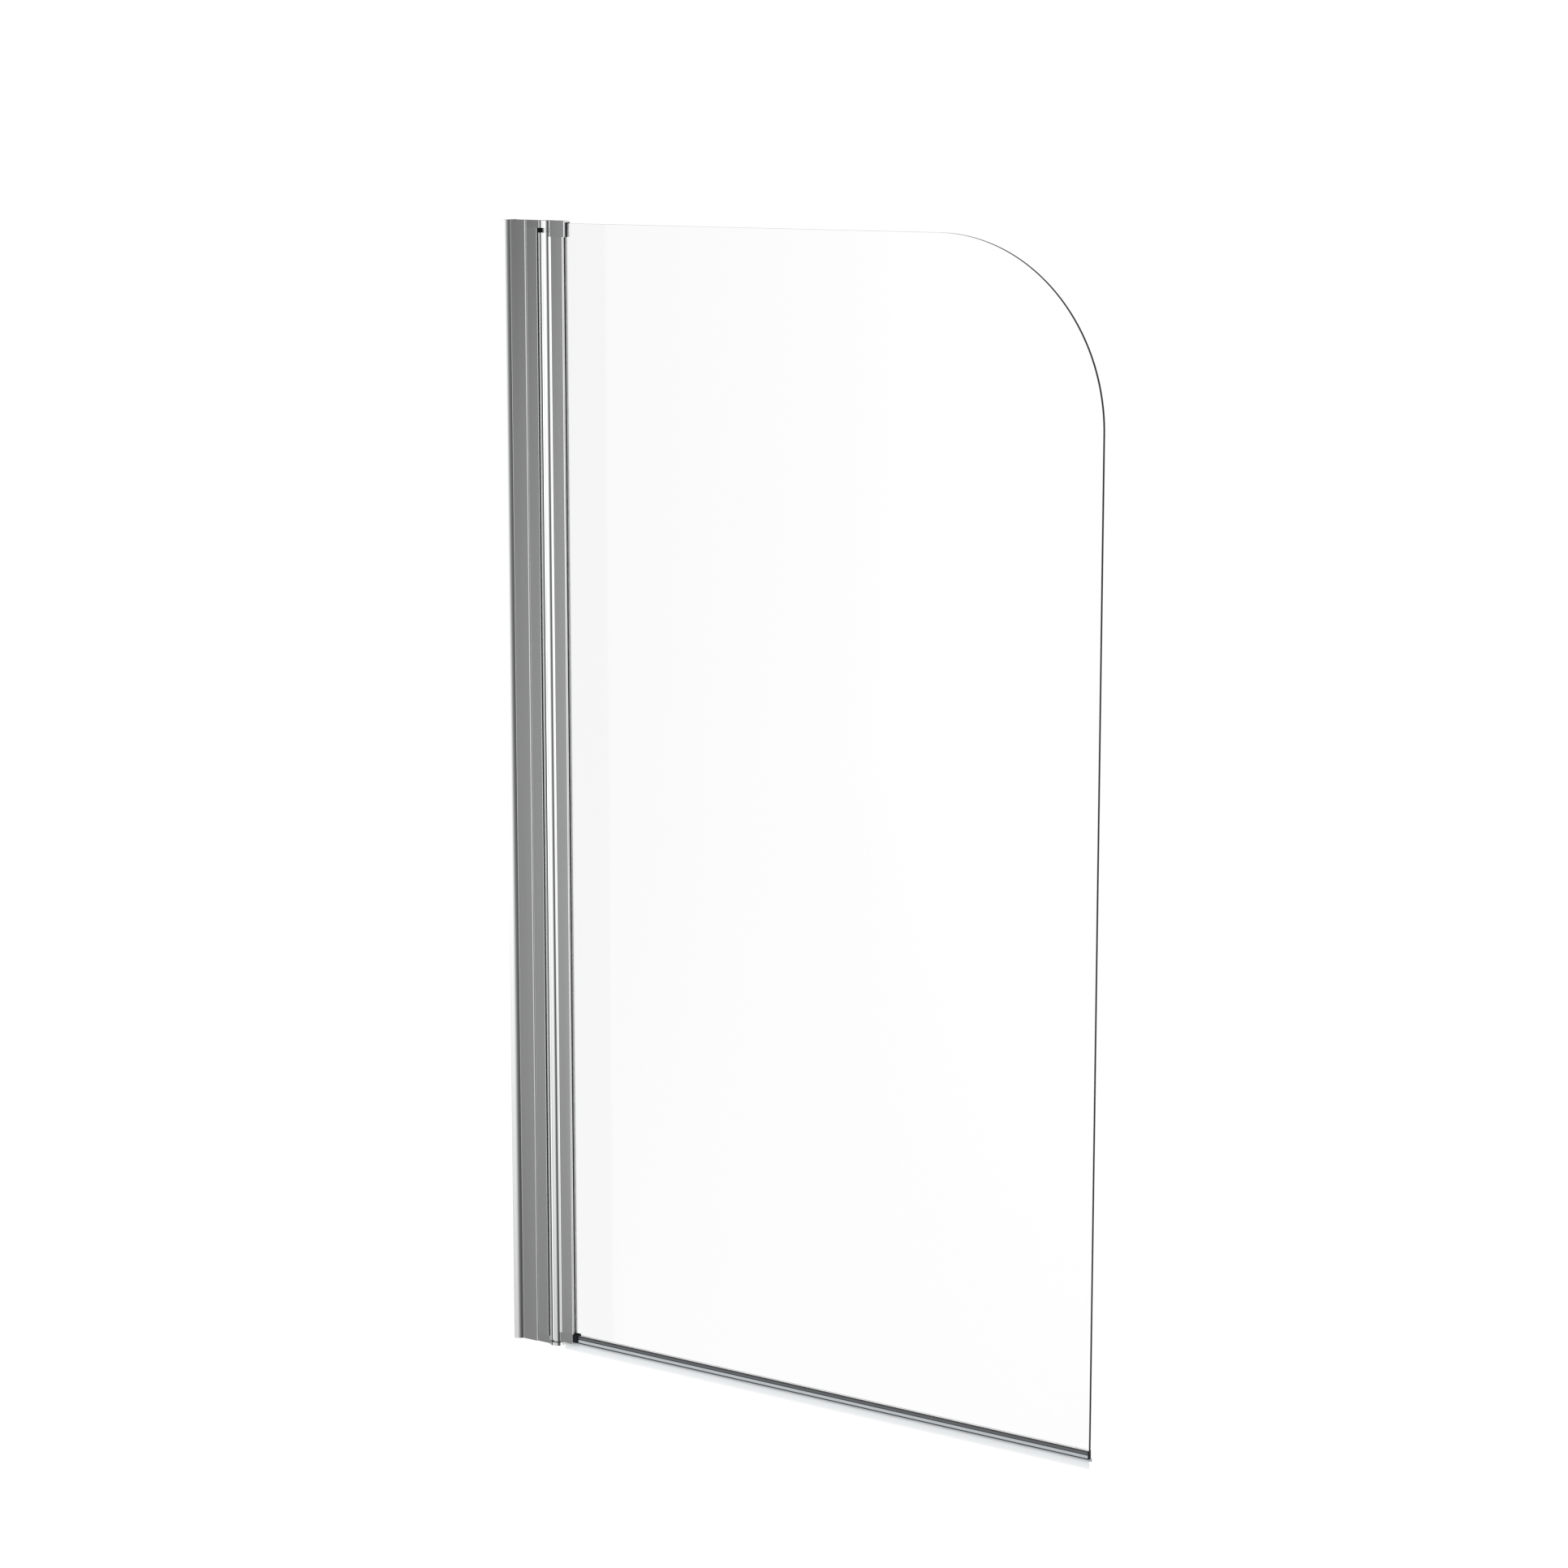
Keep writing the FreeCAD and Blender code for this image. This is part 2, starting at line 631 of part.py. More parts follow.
# ---------------------------------------------------------------- water seal
def make_seal_carrier():
    half = carrier_half
    body = box(carrier_start, carrier_end, -half, half, carrier_base, carrier_top)
    slot = glass_half + carrier_fit
    chamber = half - carrier_leg
    body = body.cut(box(carrier_start - 1, carrier_end + 1, -slot, slot, glass_bottom - carrier_fit, carrier_top + 1))
    body = body.cut(box(carrier_start - 1, carrier_end + 1, -chamber, chamber, chamber_base, chamber_top))
    body = body.cut(box(carrier_start - 1, carrier_end + 1, -slit_half, slit_half, 0, chamber_base + 0.1))
    root = carrier_base + lip_thickness * 1.5
    tip_y, tip_z = half + lip_out, root - lip_drop
    mid_y, mid_z = half + lip_out * 0.7, root - lip_drop * 0.3
    inset = lip_thickness
    start = bottom_block_end + corner_pad_length
    section = [
        Part.Arc(vec(start, half - 0.1, root), vec(start, mid_y, mid_z), vec(start, tip_y, tip_z)).toShape(),
        Part.LineSegment(vec(start, tip_y, tip_z), vec(start, tip_y - inset, tip_z)).toShape(),
        Part.Arc(vec(start, tip_y - inset, tip_z), vec(start, mid_y - inset * 0.7, mid_z - inset * 0.7),
                 vec(start, half - 0.1, root - inset)).toShape(),
        Part.LineSegment(vec(start, half - 0.1, root - inset), vec(start, half - 0.1, root)).toShape(),
    ]
    lip = Part.Face(Part.Wire(Part.__sortEdges__(section))).extrude(vec(carrier_end - start, 0, 0))
    return body.fuse(lip).removeSplitter()


def make_seal_blade():
    half = blade_thickness / 2
    tip = carrier_base - blade_drop
    head_top = chamber_base + blade_head_height
    held = along_x([
        (-half, tip), (half, tip), (half, chamber_base), (blade_head_half, chamber_base),
        (blade_head_half, head_top), (-blade_head_half, head_top), (-blade_head_half, chamber_base),
        (-half, chamber_base),
    ], carrier_start, carrier_end)
    inner_end = box(axis_x + blade_start, carrier_start + 1, -half, half, tip, bottom_block_base - blade_roof_gap)
    return held.fuse(inner_end).removeSplitter()


def make_end_cap():
    half = carrier_half
    cap = box(carrier_end, glass_far_edge, -half, half, carrier_base, carrier_top)
    slot = glass_half + carrier_fit
    cap = cap.cut(box(carrier_end - 1, glass_far_edge + 1, -slot, slot, glass_bottom - carrier_fit, carrier_top + 1))
    plug_half = half - carrier_leg - fit_gap
    plug_base = chamber_base + blade_head_height + fit_gap
    plug = box(carrier_end - end_cap_plug, carrier_end, -plug_half, plug_half, plug_base, chamber_top - fit_gap)
    return cap.fuse(plug).removeSplitter()


def make_corner_pads():
    pads = []
    start, end = bottom_block_end, bottom_block_end + corner_pad_length
    for side in (-1, 1):
        near, far = sorted([side * carrier_slot_half, side * post_half])
        pad = box(start, end, near, far, corner_pad_base, bottom_block_top - 2 * fit_gap)
        pad = rounded_upright_edges(pad, corner_pad_round, [(end, side * post_half)])
        near, far = sorted([side * carrier_slot_half, side * (carrier_slot_half + pad_tongue_thickness)])
        tongue = box(start - pad_tongue_length, start, near, far,
                     bottom_block_base + 3 + fit_gap, bottom_block_top - 2 * fit_gap)
        pads.append(pad.fuse(tongue).removeSplitter())
    return Part.makeCompound(pads)


# ---------------------------------------------------------------- the assembly
def all_parts():
    plug_height = top_knuckle_height
    return {
        "wall_channel": make_wall_channel(),
        "channel_top_plug": make_channel_plug(screen_height - plug_height, screen_height),
        "channel_bottom_plug": make_channel_plug(0, plug_height),
        "locking_screws": make_locking_screws(),
        "locking_nut_plates": make_nut_plates(),
        "locking_screw_caps": make_lock_caps(),
        "expander_profile": make_expander(),
        "hinge_seal": make_hinge_seal(),
        "top_pivot_cap": make_top_pivot_cap(),
        "bottom_pivot_cap": make_bottom_pivot_cap(),
        "top_cap_screws": make_cap_screws(screen_height, top_knuckle_height, True),
        "bottom_cap_screws": make_cap_screws(0, bottom_web_height, False),
        "top_pivot_pin": make_top_pin(),
        "bottom_pivot_pin": make_bottom_pin(),
        "pin_grub_screw": make_grub_screw(),
        "cam_ring": make_cam_ring(),
        "hinge_post": make_hinge_post(),
        "top_bush": make_bush(post_top - bush_length, post_top),
        "bottom_bush": make_bush(post_base, post_base + bush_length),
        "top_glass_block": make_top_block(),
        "top_glass_pad": make_top_pad(),
        "top_glass_liner": make_top_liner(),
        "bottom_glass_block": make_bottom_block(),
        "glass_block_screws": make_block_screws(),
        "glass_panel": make_glass(),
        "room_side_gasket": make_gasket(-1, gasket_stand_out),
        "bath_side_gasket": make_gasket(1, 0),
        "glass_edge_spacers": make_edge_spacers(),
        "seal_carrier": make_seal_carrier(),
        "seal_blade": make_seal_blade(),
        "seal_end_cap": make_end_cap(),
        "seal_corner_pads": make_corner_pads(),
    }


os.makedirs("parts", exist_ok=True)
for name, shape in all_parts().items():
    shape.exportStep("parts/" + name + ".step")
    print(name, len(shape.Solids), "solid(s)", round(shape.Volume / 1000, 3), "cm3")
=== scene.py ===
import math

import bmesh
import bpy
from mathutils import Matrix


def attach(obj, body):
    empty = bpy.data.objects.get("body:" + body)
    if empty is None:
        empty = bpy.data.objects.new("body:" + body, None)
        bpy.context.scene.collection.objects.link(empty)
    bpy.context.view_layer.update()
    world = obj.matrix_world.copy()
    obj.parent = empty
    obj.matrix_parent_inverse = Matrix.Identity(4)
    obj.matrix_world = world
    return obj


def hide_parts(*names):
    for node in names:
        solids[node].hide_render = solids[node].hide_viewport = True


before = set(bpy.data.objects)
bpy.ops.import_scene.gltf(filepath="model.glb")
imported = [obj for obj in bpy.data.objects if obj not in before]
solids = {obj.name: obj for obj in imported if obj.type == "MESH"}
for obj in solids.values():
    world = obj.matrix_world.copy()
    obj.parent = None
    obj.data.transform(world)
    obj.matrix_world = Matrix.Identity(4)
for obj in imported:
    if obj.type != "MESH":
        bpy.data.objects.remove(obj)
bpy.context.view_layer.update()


# ---------------------------------------------------------------- camera
# The photographer stood in the room, right of the screen and as high as its
# top edge, with a long lens. Place, aim and lens were solved from the straight
# edges of the glass and the wall profile.
scene = bpy.context.scene
scene.view_settings.view_transform = "Standard"
lens, sensor_width = 89.827, 36.0
camera_place = (2.99467, -3.71452, 1.55501)
looking_down, looking_left = 10.078, 34.874
camera_data = bpy.data.cameras.new("camera")
camera_data.lens = lens
camera_data.sensor_width = sensor_width
camera = bpy.data.objects.new("camera", camera_data)
camera.location = camera_place
camera.rotation_euler = (math.radians(90.0 - looking_down), 0.0, math.radians(looking_left))
scene.collection.objects.link(camera)
scene.camera = camera


# ---------------------------------------------------------------- studio
# A white room. The screen stands at the height of a bath rim, so the floor is
# 560 mm lower. Polished metal and glass see the room as it is round a product
# shot: a grey wall to the left, white panels in front, a dark gap to the right.
def add_node(tree, kind, x, y, **settings):
    node = tree.nodes.new(kind)
    node.location = (x, y)
    for key, value in settings.items():
        setattr(node, key, value)
    return node


def calculate(tree, operation, first, second=None, third=None, x=0, y=0, clamp=False):
    """One Math node. Each operand is a number or another node's output."""
    node = add_node(tree, "ShaderNodeMath", x, y, operation=operation, use_clamp=clamp)
    for socket, operand in zip(node.inputs, (first, second, third)):
        if operand is None:
            continue
        if isinstance(operand, (int, float)):
            socket.default_value = operand
        else:
            tree.links.new(operand, socket)
    return node.outputs[0]


def ramp(tree, value, low, high, stops, x=0, y=0):
    """Grey that follows value through stops of (place, brightness).
    It runs straight from each stop to the next."""
    share = add_node(tree, "ShaderNodeMapRange", x - 180, y)
    share.inputs["From Min"].default_value = low
    share.inputs["From Max"].default_value = high
    tree.links.new(value, share.inputs["Value"])
    node = add_node(tree, "ShaderNodeValToRGB", x, y)
    points = node.color_ramp.elements
    while len(points) < len(stops):
        points.new(0.5)
    for point, (place, brightness) in zip(points, stops):
        point.position = (place - low) / (high - low)
        point.color = (brightness, brightness, brightness, 1.0)
    tree.links.new(share.outputs["Result"], node.inputs["Fac"])
    return node.outputs["Color"]


world = bpy.data.worlds.new("studio")
scene.world = world
world.use_nodes = True
room = world.node_tree
room.nodes.clear()
look_from = add_node(room, "ShaderNodeTexCoord", -1600, 0)
split = add_node(room, "ShaderNodeSeparateXYZ", -1420, 0)
room.links.new(look_from.outputs["Generated"], split.inputs["Vector"])
away = calculate(room, "MULTIPLY", split.outputs["Y"], -1.0, x=-1250, y=-80)
turn = calculate(room, "ARCTAN2", split.outputs["X"], away, x=-1100)
turn = calculate(room, "DEGREES", turn, x=-950)
lift = calculate(room, "ARCSINE", split.outputs["Z"], x=-1100, y=-200)
lift = calculate(room, "DEGREES", lift, x=-950, y=-200)

# Brightness round the room, in degrees from straight in front towards the right.
around = ramp(room, turn, -180.0, 180.0, [
    (-180.0, 0.60), (-135.0, 0.30), (-118.0, 0.10), (-103.0, 0.40), (-66.0, 0.44),
    (-61.0, 0.36), (-56.0, 0.05), (-47.5, 0.03), (-45.0, 2.80), (-31.0, 2.80),
    (-28.5, 1.00), (-14.0, 0.95), (-3.0, 1.12), (20.0, 1.15), (26.0, 1.00),
    (31.0, 0.72), (35.5, 0.44), (40.0, 0.27), (45.0, 0.17), (50.0, 0.13),
    (58.0, 0.10), (66.0, 0.13), (72.0, 0.32), (80.0, 1.10), (90.0, 1.25),
    (105.0, 1.15), (120.0, 0.95), (150.0, 0.82), (180.0, 0.60)], x=-600, y=300)
# The grey wall ends sharply where the white panels start.
grey_wall = ramp(room, turn, -50.0, -30.0, [
    (-50.0, 2.80), (-47.6, 2.80), (-47.5, 0.03), (-43.0, 0.22), (-38.7, 0.268),
    (-38.1, 0.355), (-37.5, 0.355), (-37.35, 2.80), (-30.0, 2.80)], x=-600, y=900)
# The nearest white panel fades in from its left end, and more slowly lower down.
fade_start = 37.3
fade_rise, fade_level = 0.071, 1.675
slowest_fade, quickest_fade = 0.3, 1.0
slope = calculate(room, "MULTIPLY_ADD", lift, fade_rise, fade_level, x=-800, y=-100)
slope = calculate(room, "MINIMUM", slope, quickest_fade, x=-700, y=-100)
slope = calculate(room, "MAXIMUM", slope, slowest_fade, x=-600, y=-100)
past = calculate(room, "ADD", turn, fade_start, x=-800, y=60)
past = calculate(room, "MULTIPLY", past, slope, x=-500, y=60)
fade = ramp(room, past, -20.0, 20.0, [
    (-20.0, 1.05), (0.0, 1.05), (1.4, 1.40), (2.45, 1.58), (3.3, 1.80), (4.1, 2.15),
    (20.0, 2.20)], x=-250, y=60)
# The white panels get darker towards the floor, and the grey wall above and
# below its middle.
low_white = ramp(room, lift, -90.0, 30.0, [
    (-90.0, 0.55), (-18.0, 0.62), (-16.4, 0.71), (-15.0, 0.77), (-14.0, 0.84),
    (-11.8, 0.98), (-10.5, 1.0), (30.0, 1.0)], x=-600, y=-350)
where_white = ramp(room, turn, -180.0, 180.0, [
    (-180.0, 0.0), (-30.0, 0.0), (-20.0, 1.0), (50.0, 1.0), (58.0, 0.0), (180.0, 0.0)],
    x=-600, y=-600)
low_grey = ramp(room, lift, -30.0, 30.0, [
    (-30.0, 0.80), (-18.0, 0.87), (-14.0, 1.0), (-9.3, 1.0), (-6.9, 0.94),
    (-4.6, 0.865), (-3.4, 0.78), (-2.0, 0.675), (10.0, 0.60)], x=-600, y=-850)
where_grey = ramp(room, turn, -62.0, -32.0, [
    (-62.0, 0.0), (-60.0, 0.0), (-50.0, 1.0), (-38.5, 1.0), (-38.25, 0.0), (-32.0, 0.0)],
    x=-600, y=-1100)
# The end of that wall, nearest the panels, is lighter above and darker below.
low_end = ramp(room, lift, -30.0, 30.0, [
    (-30.0, 0.60), (-18.2, 0.72), (-17.5, 0.83), (-15.8, 0.89), (-14.0, 0.945),
    (-11.8, 1.0), (-9.3, 1.0), (-6.9, 0.973), (-4.6, 0.906), (-3.4, 0.865),
    (-2.2, 0.79), (10.0, 0.75)], x=-600, y=-1350)
where_end = ramp(room, turn, -42.0, -32.0, [
    (-42.0, 0.0), (-38.5, 0.0), (-38.25, 1.0), (-37.5, 1.0), (-37.3, 0.0), (-32.0, 0.0)],
    x=-600, y=-1600)


def dimmed(tree, amount, where, x, y):
    """1 where the second value is 0, and the first value where it is 1."""
    missing = calculate(tree, "SUBTRACT", 1.0, amount, x=x, y=y)
    missing = calculate(tree, "MULTIPLY", missing, where, x=x + 150, y=y)
    return calculate(tree, "SUBTRACT", 1.0, missing, x=x + 300, y=y)


seen = calculate(room, "MINIMUM", around, fade, x=0, y=200)
seen = calculate(room, "MINIMUM", seen, grey_wall, x=150, y=200)
for amount, where, x, y in ((low_white, where_white, 300, -350),
                            (low_grey, where_grey, 450, -850),
                            (low_end, where_end, 600, -1350)):
    dimming = dimmed(room, amount, where, -250, y)
    seen = calculate(room, "MULTIPLY", seen, dimming, x=x, y=200)
ray_kind = add_node(room, "ShaderNodeLightPath", 300, 600)
straight_on = calculate(room, "MAXIMUM", ray_kind.outputs["Is Camera Ray"],
                        ray_kind.outputs["Is Transmission Ray"], x=480, y=600)
# An even white lights the screen, and the backdrop is a little brighter than that.
even_white, backdrop_extra = 0.85, 0.19
even = calculate(room, "MULTIPLY_ADD", straight_on, backdrop_extra, even_white, x=640, y=500)
choose = add_node(room, "ShaderNodeMix", 800, 300, data_type="FLOAT")
mirrored_ray = calculate(room, "SUBTRACT", ray_kind.outputs["Is Glossy Ray"],
                         ray_kind.outputs["Is Transmission Ray"], x=480, y=750, clamp=True)
room.links.new(mirrored_ray, choose.inputs["Factor"])
room.links.new(even, choose.inputs["A"])
room.links.new(seen, choose.inputs["B"])
sky = add_node(room, "ShaderNodeBackground", 1000, 300)
sky.inputs["Color"].default_value = (1.0, 1.0, 1.0, 1.0)
room.links.new(choose.outputs["Result"], sky.inputs["Strength"])
room_out = add_node(room, "ShaderNodeOutputWorld", 1200, 300)
room.links.new(sky.outputs["Background"], room_out.inputs["Surface"])

# The floor is one great sheet. Straight rays see it bright, and mirrored rays
# pass through it to the room.
floor_z, floor_reach = -0.56, 900.0
floor_glow, floor_glow_share = 1.1, 0.8
floor_mesh = bpy.data.meshes.new("floor")
floor_corners = [(x * floor_reach, y * floor_reach, floor_z)
                 for x, y in ((-1, -1), (1, -1), (1, 1), (-1, 1))]
floor_mesh.from_pydata(floor_corners, [], [(0, 1, 2, 3)])
floor = bpy.data.objects.new("floor", floor_mesh)
scene.collection.objects.link(floor)
floor_paint = bpy.data.materials.new("floor paint")
floor_paint.use_nodes = True
paint = floor_paint.node_tree
paint.nodes.clear()
matt = add_node(paint, "ShaderNodeBsdfDiffuse", 0, 0)
matt.inputs["Color"].default_value = (0.88, 0.88, 0.88, 1.0)
glow = add_node(paint, "ShaderNodeEmission", 0, -150)
glow.inputs["Strength"].default_value = floor_glow
open_air = add_node(paint, "ShaderNodeBsdfTransparent", 0, -300)
floor_ray = add_node(paint, "ShaderNodeLightPath", -400, 200)
floor_seen = calculate(paint, "MAXIMUM", floor_ray.outputs["Is Camera Ray"],
                       floor_ray.outputs["Is Transmission Ray"], x=-200, y=200)
floor_share = calculate(paint, "MULTIPLY", floor_seen, floor_glow_share, x=-40, y=200)
floor_mirrored = calculate(paint, "SUBTRACT", floor_ray.outputs["Is Glossy Ray"],
                           floor_ray.outputs["Is Transmission Ray"], x=-40, y=350, clamp=True)
lit = add_node(paint, "ShaderNodeMixShader", 200, 0)
paint.links.new(floor_share, lit.inputs["Fac"])
paint.links.new(matt.outputs[0], lit.inputs[1])
paint.links.new(glow.outputs[0], lit.inputs[2])
floor_mix = add_node(paint, "ShaderNodeMixShader", 400, 0)
paint.links.new(floor_mirrored, floor_mix.inputs["Fac"])
paint.links.new(lit.outputs[0], floor_mix.inputs[1])
paint.links.new(open_air.outputs[0], floor_mix.inputs[2])
floor_out = add_node(paint, "ShaderNodeOutputMaterial", 600, 0)
paint.links.new(floor_mix.outputs[0], floor_out.inputs["Surface"])
floor_mesh.materials.append(floor_paint)

# One large lamp, up on the left, that neither metal nor glass shows.
lamp_size, lamp_watts = 2.5, 70.0
lamp_place, lamp_tilt, lamp_turn = (-1.2, -3.2, 3.4), 48.0, -24.0
lamp_data = bpy.data.lights.new("soft lamp", "AREA")
lamp_data.size = lamp_size
lamp_data.energy = lamp_watts
lamp = bpy.data.objects.new("soft lamp", lamp_data)
lamp.location = lamp_place
lamp.rotation_euler = (math.radians(lamp_tilt), 0.0, math.radians(lamp_turn))
lamp.visible_glossy = False
lamp.visible_transmission = False
scene.collection.objects.link(lamp)


# ---------------------------------------------------------------- wall channel
# The piece that is screwed to the wall: a bright polished aluminium extrusion
# with a flared foot and a neck that the expander slides in. Its base has four
# holes for wall screws and its bath side three for the locking screws.
def new_material(name, colour, metallic=0.0, roughness=0.5, **sockets):
    """A material with one main shader, whose even values are set on its sockets."""
    material = bpy.data.materials.new(name)
    material.use_nodes = True
    shader = material.node_tree.nodes["Principled BSDF"]
    shader.inputs["Base Color"].default_value = (*colour, 1.0)
    shader.inputs["Metallic"].default_value = metallic
    shader.inputs["Roughness"].default_value = roughness
    for key, value in sockets.items():
        shader.inputs[key.replace("_", " ")].default_value = value
    return material


def surface_grain(material, stretch, detail=3.0, roughness=None, bump=None, tint=None):
    """Noise in the piece's own frame: stretch is its density along X, Y and Z, per
    metre. roughness and tint are pairs of ends, and bump is (strength, depth in metres)."""
    tree = material.node_tree
    shader = tree.nodes["Principled BSDF"]
    place = add_node(tree, "ShaderNodeTexCoord", -1100, 0)
    density = add_node(tree, "ShaderNodeMapping", -920, 0)
    density.inputs["Scale"].default_value = stretch
    tree.links.new(place.outputs["Object"], density.inputs["Vector"])
    noise = add_node(tree, "ShaderNodeTexNoise", -740, 0)
    noise.inputs["Scale"].default_value = 1.0
    noise.inputs["Detail"].default_value = detail
    tree.links.new(density.outputs["Vector"], noise.inputs["Vector"])
    if roughness:
        spread = add_node(tree, "ShaderNodeMapRange", -520, 150)
        spread.inputs["From Min"].default_value = 0.3
        spread.inputs["From Max"].default_value = 0.7
        spread.inputs["To Min"].default_value = roughness[0]
        spread.inputs["To Max"].default_value = roughness[1]
        tree.links.new(noise.outputs["Fac"], spread.inputs["Value"])
        tree.links.new(spread.outputs["Result"], shader.inputs["Roughness"])
    if tint:
        blend = add_node(tree, "ShaderNodeMix", -520, 400, data_type="RGBA")
        blend.inputs["A"].default_value = (*tint[0], 1.0)
        blend.inputs["B"].default_value = (*tint[1], 1.0)
        tree.links.new(noise.outputs["Fac"], blend.inputs["Factor"])
        tree.links.new(blend.outputs["Result"], shader.inputs["Base Color"])
    if bump:
        relief = add_node(tree, "ShaderNodeBump", -520, -200)
        relief.inputs["Strength"].default_value = bump[0]
        relief.inputs["Distance"].default_value = bump[1]
        tree.links.new(noise.outputs["Fac"], relief.inputs["Height"])
        tree.links.new(relief.outputs["Normal"], shader.inputs["Normal"])


polished_aluminium = new_material("polished aluminium", (0.895, 0.905, 0.9), metallic=1.0)
surface_grain(polished_aluminium, (260.0, 260.0, 3.0), roughness=(0.034, 0.048),
              bump=(0.012, 0.00002), tint=((0.885, 0.895, 0.89), (0.905, 0.915, 0.91)))


def sweep(a, b, centre, steps):
    """Points of the shorter arc from a to b round centre, with a left out."""
    first = math.atan2(a[1] - centre[1], a[0] - centre[0])
    last = math.atan2(b[1] - centre[1], b[0] - centre[0])
    span = (last - first + math.pi) % (2.0 * math.pi) - math.pi
    radius = math.hypot(a[0] - centre[0], a[1] - centre[1])
    return [(centre[0] + radius * math.cos(first + span * i / steps),
             centre[1] + radius * math.sin(first + span * i / steps))
            for i in range(1, steps + 1)]


def mirrored(half):
    """A closed section from its -Y half, which runs from end to end of the mirror line."""
    return half + [(x, -y) for x, y in reversed(half)]


def extrusion_tree():
    """Fills flat closed lines and pulls them out along Z, then turns and colours the result."""
    tree = bpy.data.node_groups.new("extrusion", "GeometryNodeTree")
    face = tree.interface
    face.new_socket("Section", in_out="INPUT", socket_type="NodeSocketGeometry")
    face.new_socket("Length", in_out="INPUT", socket_type="NodeSocketFloat")
    face.new_socket("Start", in_out="INPUT", socket_type="NodeSocketFloat")
    face.new_socket("Turn", in_out="INPUT", socket_type="NodeSocketRotation")
    face.new_socket("Finish", in_out="INPUT", socket_type="NodeSocketMaterial")
    face.new_socket("Piece", in_out="OUTPUT", socket_type="NodeSocketGeometry")
    given = add_node(tree, "NodeGroupInput", -900, 0)
    lines = add_node(tree, "GeometryNodeMeshToCurve", -720, 0)
    fill = add_node(tree, "GeometryNodeFillCurve", -540, 0)
    along = add_node(tree, "ShaderNodeCombineXYZ", -540, -200)
    pull = add_node(tree, "GeometryNodeExtrudeMesh", -340, 0)
    pull.inputs["Individual"].default_value = False
    back = add_node(tree, "GeometryNodeFlipFaces", -340, -250)
    both = add_node(tree, "GeometryNodeJoinGeometry", -160, 0)
    weld = add_node(tree, "GeometryNodeMergeByDistance", 20, 0)
    weld.inputs["Distance"].default_value = 1e-6
    start = add_node(tree, "ShaderNodeCombineXYZ", 20, -200)
    shift = add_node(tree, "GeometryNodeTransform", 200, 0)
    rotate = add_node(tree, "GeometryNodeTransform", 380, 0)
    real = add_node(tree, "GeometryNodeRealizeInstances", 560, 0)
    colour = add_node(tree, "GeometryNodeSetMaterial", 740, 0)
    result = add_node(tree, "NodeGroupOutput", 920, 0)
    link = tree.links.new
    link(given.outputs["Section"], lines.inputs[0])
    link(lines.outputs[0], fill.inputs[0])
    link(fill.outputs[0], pull.inputs["Mesh"])
    link(given.outputs["Length"], along.inputs["Z"])
    link(along.outputs[0], pull.inputs["Offset"])
    link(fill.outputs[0], back.inputs[0])
    link(back.outputs[0], both.inputs[0])
    link(pull.outputs["Mesh"], both.inputs[0])
    link(both.outputs[0], weld.inputs[0])
    link(given.outputs["Start"], start.inputs["Z"])
    link(weld.outputs[0], shift.inputs["Geometry"])
    link(start.outputs[0], shift.inputs["Translation"])
    link(shift.outputs[0], rotate.inputs["Geometry"])
    link(given.outputs["Turn"], rotate.inputs["Rotation"])
    link(rotate.outputs[0], real.inputs[0])
    link(real.outputs[0], colour.inputs["Geometry"])
    link(given.outputs["Finish"], colour.inputs["Material"])
    link(colour.outputs[0], result.inputs[0])
    return tree


def apply_tree(piece, tree, **values):
    """Run a node tree on the piece and keep the result as its plain mesh."""
    modifier = piece.modifiers.new(tree.name, "NODES")
    modifier.node_group = tree
    for item in tree.interface.items_tree:
        if item.item_type == "SOCKET" and item.in_out == "INPUT" and item.name in values:
            modifier[item.identifier] = values[item.name]
    keep_result(piece)


def keep_result(piece):
    """Replace the piece's modifiers by the mesh that they make."""
    evaluated = piece.evaluated_get(bpy.context.evaluated_depsgraph_get())
    old = piece.data
    made = bpy.data.meshes.new_from_object(evaluated)
    if len(made.materials) > 1 and made.materials[0] is None:
        made.materials.pop(index=0)
    piece.modifiers.clear()
    piece.data = made
    made.name = piece.name
    bpy.data.meshes.remove(old)


def shade(piece, angle=24.0):
    """Round faces look round and flat faces stay flat: normals are weighted by face area."""
    piece.data.shade_smooth()
    piece.data.set_sharp_from_angle(angle=math.radians(angle))
    weigh = piece.modifiers.new("weigh", "WEIGHTED_NORMAL")
    weigh.keep_sharp = True
    keep_result(piece)


stand_up = (0.0, 0.0, 0.0)
extrude = extrusion_tree()


def extruded(name, sections, start, end, material, turn=stand_up):
    """A straight piece whose section is one or more closed lines, in millimetres."""
    points, edges = [], []
    for section in sections:
        base = len(points)
        points += [(x / 1000.0, y / 1000.0, 0.0) for x, y in section]
        edges += [(base + i, base + (i + 1) % len(section)) for i in range(len(section))]
    mesh = bpy.data.meshes.new(name)
    mesh.from_pydata(points, edges, [])
    piece = bpy.data.objects.new(name, mesh)
    scene.collection.objects.link(piece)
    apply_tree(piece, extrude, Length=(end - start) / 1000.0, Start=start / 1000.0,
               Turn=turn, Finish=material)
    return piece


def cut(piece, tool):
    """Take the tool away from the piece."""
    saw = piece.modifiers.new("cut", "BOOLEAN")
    saw.operation = "DIFFERENCE"
    saw.solver = "EXACT"
    saw.object = tool
    keep_result(piece)
    bpy.data.objects.remove(tool)


